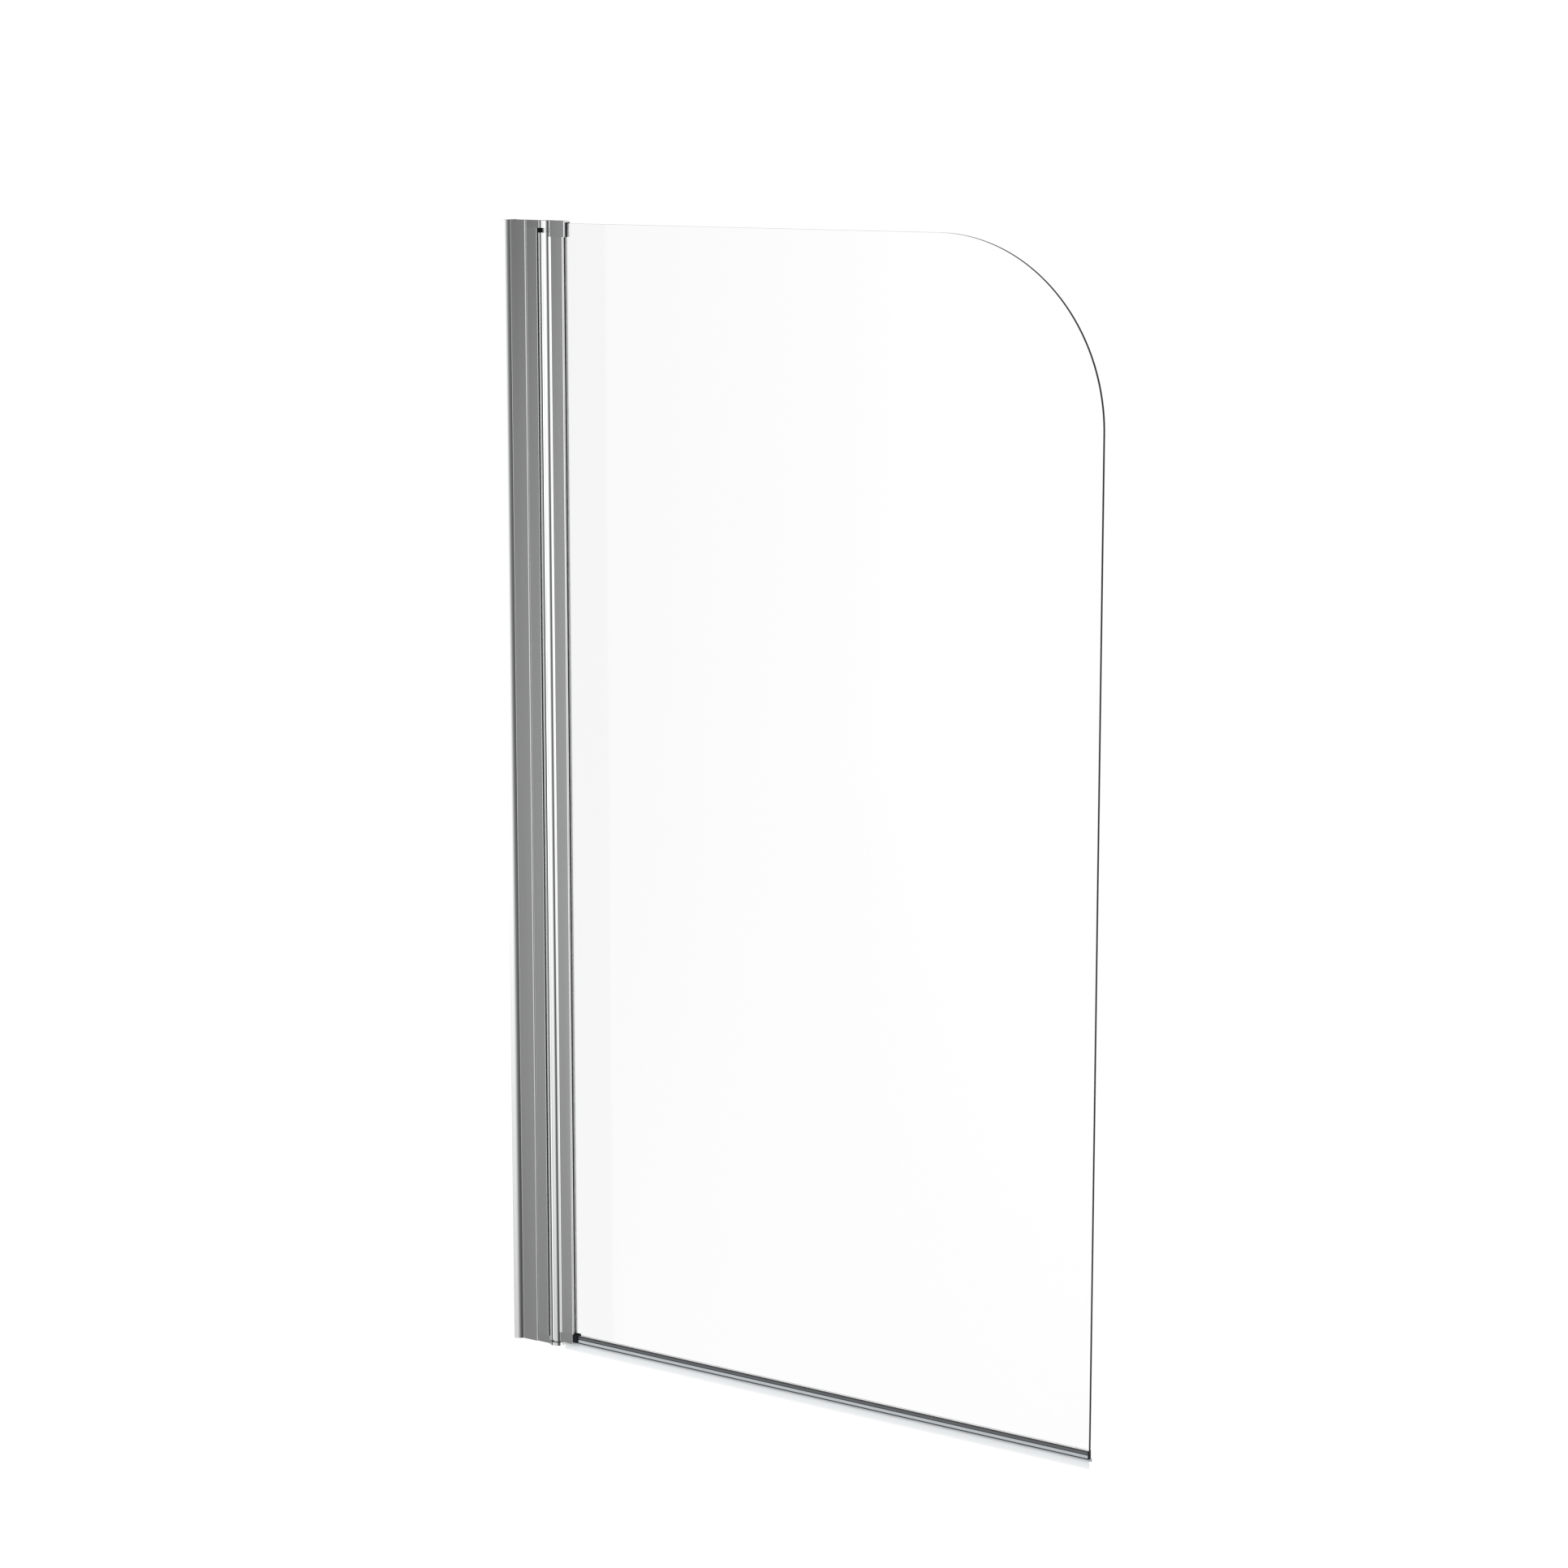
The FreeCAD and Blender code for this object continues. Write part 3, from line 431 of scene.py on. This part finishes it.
def row_tree():
    """Repeats the piece in a row along Z."""
    tree = bpy.data.node_groups.new("row", "GeometryNodeTree")
    face = tree.interface
    face.new_socket("One", in_out="INPUT", socket_type="NodeSocketGeometry")
    face.new_socket("Count", in_out="INPUT", socket_type="NodeSocketInt")
    face.new_socket("Pitch", in_out="INPUT", socket_type="NodeSocketFloat")
    face.new_socket("Finish", in_out="INPUT", socket_type="NodeSocketMaterial")
    face.new_socket("Row", in_out="OUTPUT", socket_type="NodeSocketGeometry")
    given = add_node(tree, "NodeGroupInput", -600, 0)
    step = add_node(tree, "ShaderNodeCombineXYZ", -420, -100)
    points = add_node(tree, "GeometryNodeMeshLine", -240, 0)
    place = add_node(tree, "GeometryNodeInstanceOnPoints", -60, 0)
    real = add_node(tree, "GeometryNodeRealizeInstances", 120, 0)
    colour = add_node(tree, "GeometryNodeSetMaterial", 300, 0)
    result = add_node(tree, "NodeGroupOutput", 480, 0)
    link = tree.links.new
    link(given.outputs["Pitch"], step.inputs["Z"])
    link(given.outputs["Count"], points.inputs["Count"])
    link(step.outputs[0], points.inputs["Offset"])
    link(points.outputs[0], place.inputs["Points"])
    link(given.outputs["One"], place.inputs["Instance"])
    link(place.outputs[0], real.inputs[0])
    link(real.outputs[0], colour.inputs["Geometry"])
    link(given.outputs["Finish"], colour.inputs["Material"])
    link(colour.outputs[0], result.inputs[0])
    return tree


repeat = row_tree()
lay_along_x = (math.radians(90.0), 0.0, math.radians(90.0))
lay_along_y = (math.radians(-90.0), 0.0, 0.0)


def ring(x, y, radius, steps):
    """A closed circle of points."""
    return [(x + radius * math.cos(2.0 * math.pi * i / steps),
             y + radius * math.sin(2.0 * math.pi * i / steps)) for i in range(steps)]


# Half of the section: from the foot along the room side to the mouth and back
# along the inside.
channel_height = 1400.0
foot_half, neck_half, guide_half = 13.8, 7.3, 5.95
base_thickness, space_half = 2.2, 11.0
mouth_x, mouth_centre = 32.5, (31.6, -6.4)
flare_start, flare_end = (0.5, -foot_half), (10.0, -neck_half)
bulge = 0.75
chord = math.dist(flare_start, flare_end)
flare_radius = (chord ** 2 / 4.0 + bulge ** 2) / (2.0 * bulge)
out_way = ((flare_end[1] - flare_start[1]) / chord, -(flare_end[0] - flare_start[0]) / chord)
flare_centre = tuple((flare_start[k] + flare_end[k]) / 2.0 + out_way[k] * (bulge - flare_radius)
                     for k in (0, 1))
# The hollow corner between flare and neck touches the neck and the flare's arc.
hollow = 0.4
hollow_y = -neck_half - hollow
reach = flare_radius + hollow
hollow_x = flare_centre[0] + math.sqrt(reach ** 2 - (hollow_y - flare_centre[1]) ** 2)
share = flare_radius / reach
hollow_touch = (flare_centre[0] + (hollow_x - flare_centre[0]) * share,
                flare_centre[1] + (hollow_y - flare_centre[1]) * share)
channel_half = [(0.0, -foot_half), flare_start]
channel_half += sweep(flare_start, hollow_touch, flare_centre, 14)
channel_half += sweep(hollow_touch, (hollow_x, -neck_half), (hollow_x, hollow_y), 6)
neck_end = (mouth_centre[0], -neck_half)
channel_half += [neck_end] + sweep(neck_end, (mouth_x, mouth_centre[1]), mouth_centre, 8)
channel_half += [(mouth_x, -guide_half), (flare_end[0], -guide_half), (base_thickness, -space_half)]
wall_channel = extruded("wall_channel_polished", [mirrored(channel_half)], 0.0, channel_height,
                        polished_aluminium)
# Four wall holes through the base and three lock holes in the bath side, each
# with the place of the lowest one and the pitch of its row.
wall_hole_z, wall_hole_radius, wall_pitch, past_base = 100.0, 2.6, 0.4, 4.0
lock_x, lock_z, lock_hole_radius, lock_pitch, past_neck = 27.0, 150.0, 2.0, 0.55, 9.0
wall_hole = extruded("wall hole", [ring(0.0, wall_hole_z, wall_hole_radius, 32)], -1.0,
                     past_base, polished_aluminium, turn=lay_along_x)
apply_tree(wall_hole, repeat, Count=4, Pitch=wall_pitch, Finish=polished_aluminium)
cut(wall_channel, wall_hole)
lock_hole = extruded("lock hole", [ring(lock_x, -lock_z, lock_hole_radius, 32)], 0.0,
                     past_neck, polished_aluminium, turn=lay_along_y)
apply_tree(lock_hole, repeat, Count=3, Pitch=lock_pitch, Finish=polished_aluminium)
cut(wall_channel, lock_hole)
shade(wall_channel)
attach(wall_channel, "wall_profile")
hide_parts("wall_channel")


# ---------------------------------------------------------------- channel plugs
# Two moulded plastic plugs close the wide end of the channel beside the
# expander, top and bottom. They are pushed in and have a fine moulded grain.
def finish(name, material):
    """Give a CAD solid that stays as it is its material."""
    solids[name].data.materials.clear()
    solids[name].data.materials.append(material)


grey_plastic = new_material("grey plastic", (0.27, 0.28, 0.285), roughness=0.5)
surface_grain(grey_plastic, (2600.0, 2600.0, 2600.0), detail=2.0, roughness=(0.42, 0.6),
              bump=(0.25, 0.00005), tint=((0.25, 0.26, 0.265), (0.29, 0.30, 0.305)))
finish("channel_top_plug", grey_plastic)
finish("channel_bottom_plug", grey_plastic)


# ---------------------------------------------------------------- locking screws
# Three turned stainless screws with pan heads and round sockets hold the width
# setting from the bath side. Each runs into a stamped plate inside the expander.
def turned(name, profile, material, centre, steps=48, along=(0.0, 1.0, 0.0)):
    """A lathe part: profile is (distance along the axis, radius), in millimetres."""
    mesh = bpy.data.meshes.new(name)
    side = (1.0, 0.0, 0.0)
    other = (0.0, 0.0, 1.0) if along[1] else (0.0, 1.0, 0.0)
    points, faces, rows = [], [], []
    for place, radius in profile:
        count = 1 if radius == 0.0 else steps
        rows.append([len(points) + i for i in range(count)])
        for i in range(count):
            angle = 2.0 * math.pi * i / steps
            points.append([(centre[k] + along[k] * place + radius * (side[k] * math.cos(angle)
                            + other[k] * math.sin(angle))) / 1000.0 for k in (0, 1, 2)])
    for lower, upper in zip(rows, rows[1:]):
        for i in range(steps):
            a, b = lower[i % len(lower)], lower[(i + 1) % len(lower)]
            c, d = upper[(i + 1) % len(upper)], upper[i % len(upper)]
            faces.append(list(dict.fromkeys((a, b, c, d))))
    mesh.from_pydata(points, [], faces)
    mesh.materials.append(material)
    solid = bmesh.new()
    solid.from_mesh(mesh)
    bmesh.ops.recalc_face_normals(solid, faces=solid.faces)
    solid.to_mesh(mesh)
    solid.free()
    piece = bpy.data.objects.new(name, mesh)
    scene.collection.objects.link(piece)
    return piece


stainless_steel = new_material("stainless steel", (0.62, 0.61, 0.59), metallic=1.0, roughness=0.26)
surface_grain(stainless_steel, (900.0, 5200.0, 900.0), detail=4.0, roughness=(0.2, 0.36),
              bump=(0.12, 0.00002), tint=((0.58, 0.57, 0.55), (0.66, 0.65, 0.63)))
lowest_lock = (lock_x, 0.0, lock_z)
locking_screws = turned("locking_screws_turned", [
    (1.6, 0.0), (1.6, 1.6), (1.95, 1.95), (7.3, 1.95), (7.3, 3.65), (7.4, 3.75), (9.0, 3.75),
    (9.4, 3.62), (9.62, 3.35), (9.7, 2.9), (9.7, 1.6), (9.6, 1.5), (8.3, 1.5), (8.3, 0.0)],
    stainless_steel, lowest_lock)
apply_tree(locking_screws, repeat, Count=3, Pitch=lock_pitch, Finish=stainless_steel)
shade(locking_screws, 40.0)
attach(locking_screws, "wall_profile")
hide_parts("locking_screws")
finish("locking_nut_plates", stainless_steel)


# ---------------------------------------------------------------- locking screw caps
# Three plated plastic caps snap over the screw heads. They have the bright
# chrome of all the cast and moulded fittings, with a faint orange peel.
chrome_plating = new_material("chrome plating", (0.86, 0.87, 0.87), metallic=1.0, roughness=0.035)
surface_grain(chrome_plating, (420.0, 420.0, 420.0), detail=1.5, roughness=(0.03, 0.042),
              bump=(0.002, 0.00003), tint=((0.85, 0.86, 0.86), (0.87, 0.88, 0.88)))
locking_caps = turned("locking_screw_caps_plated", [
    (9.75, 0.0), (9.75, 3.8), (7.3, 3.8), (7.3, 5.0), (9.99, 5.0), (10.2, 4.96),
    (10.39, 4.84), (10.51, 4.65), (10.55, 4.44), (10.55, 0.0)], chrome_plating, lowest_lock)
apply_tree(locking_caps, repeat, Count=3, Pitch=lock_pitch, Finish=chrome_plating)
shade(locking_caps)
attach(locking_caps, "wall_profile")
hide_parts("locking_screw_caps")


# ---------------------------------------------------------------- expander
# The second aluminium extrusion slides in the wall channel and sets the width.
# Its round front end is the seat for the hinge seal. Polished like the channel.
def smooth_copy(name, node, material, body, angle=24.0, edge=0.0):
    """The CAD solid with its points joined, its round faces smooth and its sharp
    edges broken by edge millimetres. It stands for the solid."""
    piece = bpy.data.objects.new(name, solids[node].data.copy())
    piece.data.name = name
    scene.collection.objects.link(piece)
    piece.data.materials.clear()
    piece.data.materials.append(material)
    shell = bmesh.new()
    shell.from_mesh(piece.data)
    bmesh.ops.remove_doubles(shell, verts=shell.verts, dist=1e-6)
    bmesh.ops.dissolve_limit(shell, angle_limit=math.radians(0.5), verts=shell.verts,
                             edges=shell.edges)
    shell.to_mesh(piece.data)
    shell.free()
    if edge:
        bevel = piece.modifiers.new("broken edges", "BEVEL")
        bevel.width = edge / 1000.0
        bevel.segments = 2
        bevel.limit_method = "ANGLE"
        bevel.angle_limit = math.radians(50.0)
        keep_result(piece)
    shade(piece, angle)
    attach(piece, body)
    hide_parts(node)
    return piece


smooth_copy("expander_polished", "expander_profile", polished_aluminium, "expander")


# ---------------------------------------------------------------- hinge seal
# A black rubber strip pushed into a groove of the round seat. It wipes the
# turning post and shows as the thin dark line beside it. Extruded, with a dull skin.
black_rubber = new_material("black rubber", (0.010, 0.010, 0.014), roughness=0.65,
                            Specular_IOR_Level=0.15)
surface_grain(black_rubber, (1500.0, 1500.0, 700.0), detail=4.0, roughness=(0.5, 0.72),
              bump=(0.3, 0.00004), tint=((0.007, 0.007, 0.011), (0.013, 0.013, 0.018)))
smooth_copy("hinge_seal_rubber", "hinge_seal", black_rubber, "expander")


# ---------------------------------------------------------------- pivot caps
# The fixed knuckles of the hinge: a chrome plated casting at each end of the
# expander, with a plug inside it, two countersunk screws and the pivot pin.
cast_edge = 0.22
smooth_copy("top_pivot_cap_plated", "top_pivot_cap", chrome_plating, "expander",
            edge=cast_edge)
smooth_copy("bottom_pivot_cap_plated", "bottom_pivot_cap", chrome_plating, "expander",
            edge=cast_edge)
smooth_copy("top_cap_screws_turned", "top_cap_screws", stainless_steel, "expander",
            30.0)
smooth_copy("bottom_cap_screws_turned", "bottom_cap_screws", stainless_steel, "expander",
            30.0)


# ---------------------------------------------------------------- pivot pins
# Ground steel pins with a flange at the outer end. Fine rings from the lathe
# show where the top pin is bare. A grub screw from the bath side locks the top one.
bright_steel = new_material("bright steel", (0.70, 0.70, 0.69), metallic=1.0, roughness=0.14)
surface_grain(bright_steel, (30.0, 30.0, 5200.0), detail=3.0, roughness=(0.09, 0.2),
              bump=(0.15, 0.000015), tint=((0.67, 0.67, 0.66), (0.73, 0.73, 0.72)))
axis_x = 59.3
hinge_axis, upright = (axis_x, 0.0, 0.0), (0.0, 0.0, 1.0)
top_pin = turned("top_pivot_pin_turned", [
    (1364.5, 0.0), (1364.5, 4.4), (1365.1, 5.0), (1398.8, 5.0), (1398.8, 6.35),
    (1398.95, 6.5), (1399.8, 6.5), (1400.0, 6.3), (1400.0, 0.0)],
    bright_steel, hinge_axis, steps=72, along=upright)
bottom_pin = turned("bottom_pivot_pin_turned", [
    (0.0, 0.0), (0.0, 6.3), (0.2, 6.5), (1.05, 6.5), (1.2, 6.35), (1.2, 5.0), (26.1, 5.0),
    (26.7, 4.4), (26.7, 0.0)], bright_steel, hinge_axis, steps=72, along=upright)
for pin, node in ((top_pin, "top_pivot_pin"), (bottom_pin, "bottom_pivot_pin")):
    shade(pin, 30.0)
    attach(pin, "expander")
    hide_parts(node)
smooth_copy("pin_grub_screw_turned", "pin_grub_screw", stainless_steel, "expander",
            30.0)


# ---------------------------------------------------------------- cam ring
# A moulded black nylon ring on the bottom knuckle. Its two V teeth sit in
# notches of the post and lift the panel as it swings.
black_nylon = new_material("black nylon", (0.022, 0.022, 0.024), roughness=0.4)
surface_grain(black_nylon, (1800.0, 1800.0, 1800.0), detail=2.0, roughness=(0.32, 0.5),
              bump=(0.12, 0.00003), tint=((0.018, 0.018, 0.020), (0.028, 0.028, 0.030)))
smooth_copy("cam_ring_moulded", "cam_ring", black_nylon, "hinge_ring")


# ---------------------------------------------------------------- hinge post
# Round tube and glass channel in one polished extrusion, joined by hollow
# corners. The tube alone goes on below and above the channel, and has two V
# notches milled in its foot for the cam ring.
tube_radius, bore_radius, block_half, corner_radius = 10.0, 7.2, 5.5, 4.5
corner_reach, corner_y = tube_radius + corner_radius, -(block_half + corner_radius)
corner_x = axis_x + math.sqrt(corner_reach ** 2 - corner_y ** 2)
touch = (axis_x + (corner_x - axis_x) * tube_radius / corner_reach,
         corner_y * tube_radius / corner_reach)
groove_x, groove_half = 76.0, 3.7
lip_x, lip_centre = 88.3, (86.8, -4.0)
lip_start = (lip_centre[0], -block_half)
screw_x, screw_radius = 72.6, 1.5
tube_foot, tube_top = 5.7, 1385.5
groove_foot, groove_top = 18.0, 1380.8
tube_centre, tube_left = (axis_x, 0.0), (axis_x - tube_radius, 0.0)
post_half = [tube_left] + sweep(tube_left, touch, tube_centre, 56)
post_half += sweep(touch, (corner_x, -block_half), (corner_x, corner_y), 12)
post_half += [lip_start] + sweep(lip_start, (lip_x, lip_centre[1]), lip_centre, 10)
post_half += [(lip_x, -groove_half), (groove_x, -groove_half)]
post_outline = post_half + [(x, -y) for x, y in reversed(post_half[1:])]
bore, screw_hole = ring(axis_x, 0.0, bore_radius, 72), ring(screw_x, 0.0, screw_radius, 24)
hinge_post = extruded("hinge_post_polished", [post_outline, bore, screw_hole], tube_foot,
                      tube_top, polished_aluminium)
# Beyond the ends of the groove all but the tube is cut away.
tube_side = sweep(touch, (axis_x + tube_radius, 0.0), tube_centre, 14)
past_side, past_lip, past_top = 20.0, 100.0, 1390.0
waste = [(touch[0], -past_side), touch] + tube_side
waste += [(x, -y) for x, y in reversed(tube_side[:-1])]
waste += [(touch[0], -touch[1]), (touch[0], past_side), (past_lip, past_side),
          (past_lip, -past_side)]
for low, high in ((0.0, groove_foot), (groove_top, past_top)):
    cut(hinge_post, extruded("waste", [waste], low, high, polished_aluminium))
notch_half, notch_foot, notch_top, through_tube = 1.95, -5.6, -8.2, 12.0
notch = [(axis_x - notch_half, notch_foot), (axis_x, notch_top), (axis_x + notch_half, notch_foot)]
cut(hinge_post, extruded("notch", [notch], -through_tube, through_tube, polished_aluminium,
                         turn=lay_along_y))
shade(hinge_post)
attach(hinge_post, "panel")
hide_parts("hinge_post")


# ---------------------------------------------------------------- bushes
# Two white nylon bushes in the tube run on the pins. Turned from rod, so they
# are pale, dull and slightly waxy.
white_nylon = new_material("white nylon", (0.80, 0.79, 0.75), roughness=0.42,
                           Subsurface_Weight=0.15, Subsurface_Scale=0.002)
surface_grain(white_nylon, (300.0, 300.0, 3600.0), detail=2.0, roughness=(0.36, 0.5),
              bump=(0.1, 0.00002), tint=((0.78, 0.77, 0.73), (0.82, 0.81, 0.775)))
smooth_copy("top_bush_turned", "top_bush", white_nylon, "panel")
smooth_copy("bottom_bush_turned", "bottom_bush", white_nylon, "panel")


# ---------------------------------------------------------------- top glass block
# A chrome plated block screwed on the top end of the glass channel. A rubber
# pad beside the glass on the room side folds over its edge, and a clear strip
# on the bath side wedges it.
smooth_copy("top_glass_block_plated", "top_glass_block", chrome_plating, "panel",
            edge=cast_edge)
finish("top_glass_pad", black_rubber)
clear_gasket = new_material("clear gasket", (0.94, 0.95, 0.95), roughness=0.32, IOR=1.46,
                            Subsurface_Weight=0.8, Subsurface_Radius=(1.0, 1.0, 1.0),
                            Subsurface_Scale=0.006)
surface_grain(clear_gasket, (700.0, 700.0, 120.0), detail=3.0, roughness=(0.26, 0.4),
              bump=(0.1, 0.00003), tint=((0.93, 0.94, 0.94), (0.95, 0.96, 0.96)))
finish("top_glass_liner", clear_gasket)


# ---------------------------------------------------------------- bottom glass block
# Its partner at the bottom end carries the corner of the glass and holds the
# inner end of the water seal. One countersunk screw at each end of the channel.
small_cast_edge = 0.18
smooth_copy("bottom_glass_block_plated", "bottom_glass_block", chrome_plating, "panel",
            edge=small_cast_edge)
smooth_copy("glass_block_screws_turned", "glass_block_screws", stainless_steel, "panel",
            30.0)


# ---------------------------------------------------------------- glass panel
# A 4 mm pane of toughened clear glass, cut with a round top corner. Its faces
# are polished and clean, and its rim is ground with a small arris on both sides.
# The rim's colour is painted nearly black, as painted shade.
clear_glass = new_material("clear glass", (0.917, 0.919, 0.918), roughness=0.0, IOR=1.5,
                           Transmission_Weight=1.0)
surface_grain(clear_glass, (9.0, 9.0, 9.0), detail=1.0,
              tint=((0.916, 0.918, 0.917), (0.918, 0.920, 0.919)))
# Painted shade: the glass rim is coloured nearly black.
painted_shade_rim = new_material("ground glass rim with painted shade", (0.012, 0.015, 0.014), roughness=0.35, IOR=1.5,
                          Specular_IOR_Level=0.12)
surface_grain(painted_shade_rim, (2400.0, 2400.0, 2400.0), detail=4.0, roughness=(0.28, 0.46),
              bump=(0.2, 0.00003), tint=((0.009, 0.012, 0.011), (0.016, 0.019, 0.018)))
glass_half, arris_width = 2.0, 0.4
glass_left, glass_right, glass_foot, glass_top = 77.2, 833.2, 13.0, 1397.0
corner = (618.2, 1182.0)
pane = [(glass_left, glass_top), (glass_left, glass_foot), (glass_right, glass_foot),
        (glass_right, corner[1])]
pane += sweep((glass_right, corner[1]), (corner[0], glass_top), corner, 96)
face_room = (math.radians(90.0), 0.0, 0.0)
glass_panel = extruded("glass_panel_clear", [pane], -glass_half, glass_half, clear_glass,
                       turn=face_room)
arris = glass_panel.modifiers.new("arris", "BEVEL")
arris.width = arris_width / 1000.0
arris.segments = 1
arris.limit_method = "ANGLE"
arris.angle_limit = math.radians(60.0)
keep_result(glass_panel)
shade(glass_panel)
glass_panel.data.materials.append(painted_shade_rim)
for face in glass_panel.data.polygons:
    face.material_index = 0 if abs(face.normal.y) > 0.9 else 1
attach(glass_panel, "panel")
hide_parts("glass_panel")


# ---------------------------------------------------------------- glass gaskets
# Two extruded strips wedge the glass in its channel: black rubber towards the
# room, and a clear one towards the bath that shows pale through the glass.
# Three clear spacers keep the glass edge off the bottom of the groove.
edge_x, edge_centre = 88.6, (88.3, -3.4)
room_strip = [(groove_x, -glass_half), (groove_x, -groove_half), (lip_x, -groove_half)]
room_strip += sweep((lip_x, -groove_half), (edge_x, edge_centre[1]), edge_centre, 8)
room_strip += [(edge_x, -glass_half)]
room_gasket = extruded("room_side_gasket_rubber", [room_strip], groove_foot, groove_top,
                       black_rubber)
round_centre = (87.705, 3.105)
bath_strip = [(groove_x, glass_half), (lip_x, glass_half), (lip_x, round_centre[1])]
bath_strip += sweep((lip_x, round_centre[1]), (round_centre[0], groove_half), round_centre, 8)
bath_strip += [(groove_x, groove_half)]
bath_gasket = extruded("bath_side_gasket_clear", [bath_strip], groove_foot, groove_top,
                       clear_gasket)
spacer_half, spacer_foot, spacer_top, spacer_pitch = 1.95, 210.133, 250.133, 0.460267
spacer = [(groove_x, -spacer_half), (glass_left, -spacer_half), (glass_left, spacer_half),
          (groove_x, spacer_half)]
spacers = extruded("glass_edge_spacers_clear", [spacer], spacer_foot, spacer_top, clear_gasket)
apply_tree(spacers, repeat, Count=3, Pitch=spacer_pitch, Finish=clear_gasket)
for strip, node, slot in ((room_gasket, "room_side_gasket", "black_rubber"),
                          (bath_gasket, "bath_side_gasket", "clear_gasket"),
                          (spacers, "glass_edge_spacers", "clear_gasket")):
    shade(strip)
    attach(strip, "panel")
    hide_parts(node)


# ---------------------------------------------------------------- seal carrier
# A clear PVC extrusion clipped on the bottom edge of the glass, with a thin
# curved lip on the bath side. Its legs, web and floor show as lines of
# different grey along its length, which are painted light and shade in its
# colour by height.
def paint_light_and_shade_by_height(material, bands):
    """Painted light and shade in the colour, changing with height in the piece's frame: bands are
    (millimetres, colour).
    """
    tree = material.node_tree
    place = add_node(tree, "ShaderNodeTexCoord", -1400, 500)
    height = add_node(tree, "ShaderNodeSeparateXYZ", -1220, 500)
    tree.links.new(place.outputs["Object"], height.inputs[0])
    share = add_node(tree, "ShaderNodeMapRange", -1040, 500)
    low, high = bands[0][0], bands[-1][0]
    share.inputs["From Min"].default_value = low / 1000.0
    share.inputs["From Max"].default_value = high / 1000.0
    tree.links.new(height.outputs["Z"], share.inputs["Value"])
    colours = add_node(tree, "ShaderNodeValToRGB", -860, 500)
    points = colours.color_ramp.elements
    while len(points) < len(bands):
        points.new(0.5)
    for point, (at, tone) in zip(points, bands):
        point.position = (at - low) / (high - low)
        point.color = (tone[0], tone[1], tone[2], 1.0)
    tree.links.new(share.outputs["Result"], colours.inputs["Fac"])
    tree.links.new(colours.outputs["Color"], tree.nodes["Principled BSDF"].inputs["Base Color"])


clear_pvc = new_material("clear pvc", (0.6, 0.63, 0.65), roughness=0.2, IOR=1.5,
                         Specular_IOR_Level=0.12)
surface_grain(clear_pvc, (90.0, 900.0, 900.0), detail=3.0, roughness=(0.14, 0.28),
              bump=(0.12, 0.00004))
# Painted shade lines, a painted mid shade and a painted light band: light and shade painted into
# the carrier's colour where its legs, web and floor lie.
painted_shade_line, painted_mid_shade = (0.055, 0.058, 0.063), (0.12, 0.124, 0.126)
painted_light_band = (0.455, 0.485, 0.50)
paint_light_and_shade_by_height(clear_pvc, [
    (1.0, (0.62, 0.65, 0.66)), (6.6, (0.50, 0.53, 0.55)), (7.0, painted_shade_line), (8.2, painted_shade_line),
    (8.6, painted_light_band), (11.6, painted_light_band), (12.0, painted_shade_line), (13.0, painted_shade_line),
    (13.4, painted_mid_shade), (15.1, painted_mid_shade), (15.5, painted_shade_line), (17.3, painted_shade_line)])
seal_carrier = smooth_copy("seal_carrier_clear", "seal_carrier", clear_pvc, "panel")
# The leg on the bath side has nothing behind it, so the room shows through it.
see_through_pvc = new_material("see-through pvc", (0.94, 0.95, 0.95), roughness=0.06, IOR=1.46,
                               Transmission_Weight=1.0)
surface_grain(see_through_pvc, (90.0, 900.0, 900.0), detail=3.0, roughness=(0.04, 0.09),
              bump=(0.05, 0.00003))
seal_carrier.data.materials.append(see_through_pvc)
leg_face, leg_foot = 0.0019, 0.0131
legs = bmesh.new()
legs.from_mesh(seal_carrier.data)
bmesh.ops.bisect_plane(legs, geom=legs.verts[:] + legs.edges[:] + legs.faces[:],
                       plane_co=(0.0, 0.0, leg_foot), plane_no=(0.0, 0.0, 1.0))
for face in legs.faces:
    middle = face.calc_center_median()
    face.material_index = 1 if middle.y > leg_face and middle.z > leg_foot else 0
legs.to_mesh(seal_carrier.data)
legs.free()
shade(seal_carrier)


# ---------------------------------------------------------------- seal blade
# A softer clear PVC blade slides into the carrier and hangs on the bath rim.
# It is a little cloudy. Its colour is painted by height: darker towards the carrier as painted
# shade, and paler towards its free edge.
clear_soft_pvc = new_material("clear soft pvc", (0.7, 0.73, 0.74), roughness=0.4, IOR=1.46,
                              Specular_IOR_Level=0.12)
surface_grain(clear_soft_pvc, (60.0, 900.0, 500.0), detail=3.0, roughness=(0.22, 0.4),
              bump=(0.1, 0.00004))
# Painted shade: the blade's colour darkens from its free edge up to the carrier.
paint_light_and_shade_by_height(clear_soft_pvc, [
    (-5.5, (0.93, 0.94, 0.94)), (-4.0, (0.87, 0.885, 0.89)), (-2.7, (0.82, 0.84, 0.845)),
    (-0.4, (0.79, 0.81, 0.815)), (1.8, (0.77, 0.79, 0.80)), (2.9, (0.72, 0.745, 0.755)),
    (4.0, (0.635, 0.66, 0.67)), (5.1, (0.58, 0.61, 0.62)), (7.0, (0.42, 0.45, 0.46)),
    (9.5, (0.42, 0.45, 0.46))])
smooth_copy("seal_blade_clear", "seal_blade", clear_soft_pvc, "panel")


# ---------------------------------------------------------------- seal end cap and corner pads
# A black rubber cap closes the free end of the carrier, and two black pads
# cover its legs where it leaves the bottom block. Both are moulded.
smooth_copy("seal_end_cap_rubber", "seal_end_cap", black_rubber, "panel")
smooth_copy("seal_corner_pads_rubber", "seal_corner_pads", black_rubber, "panel")
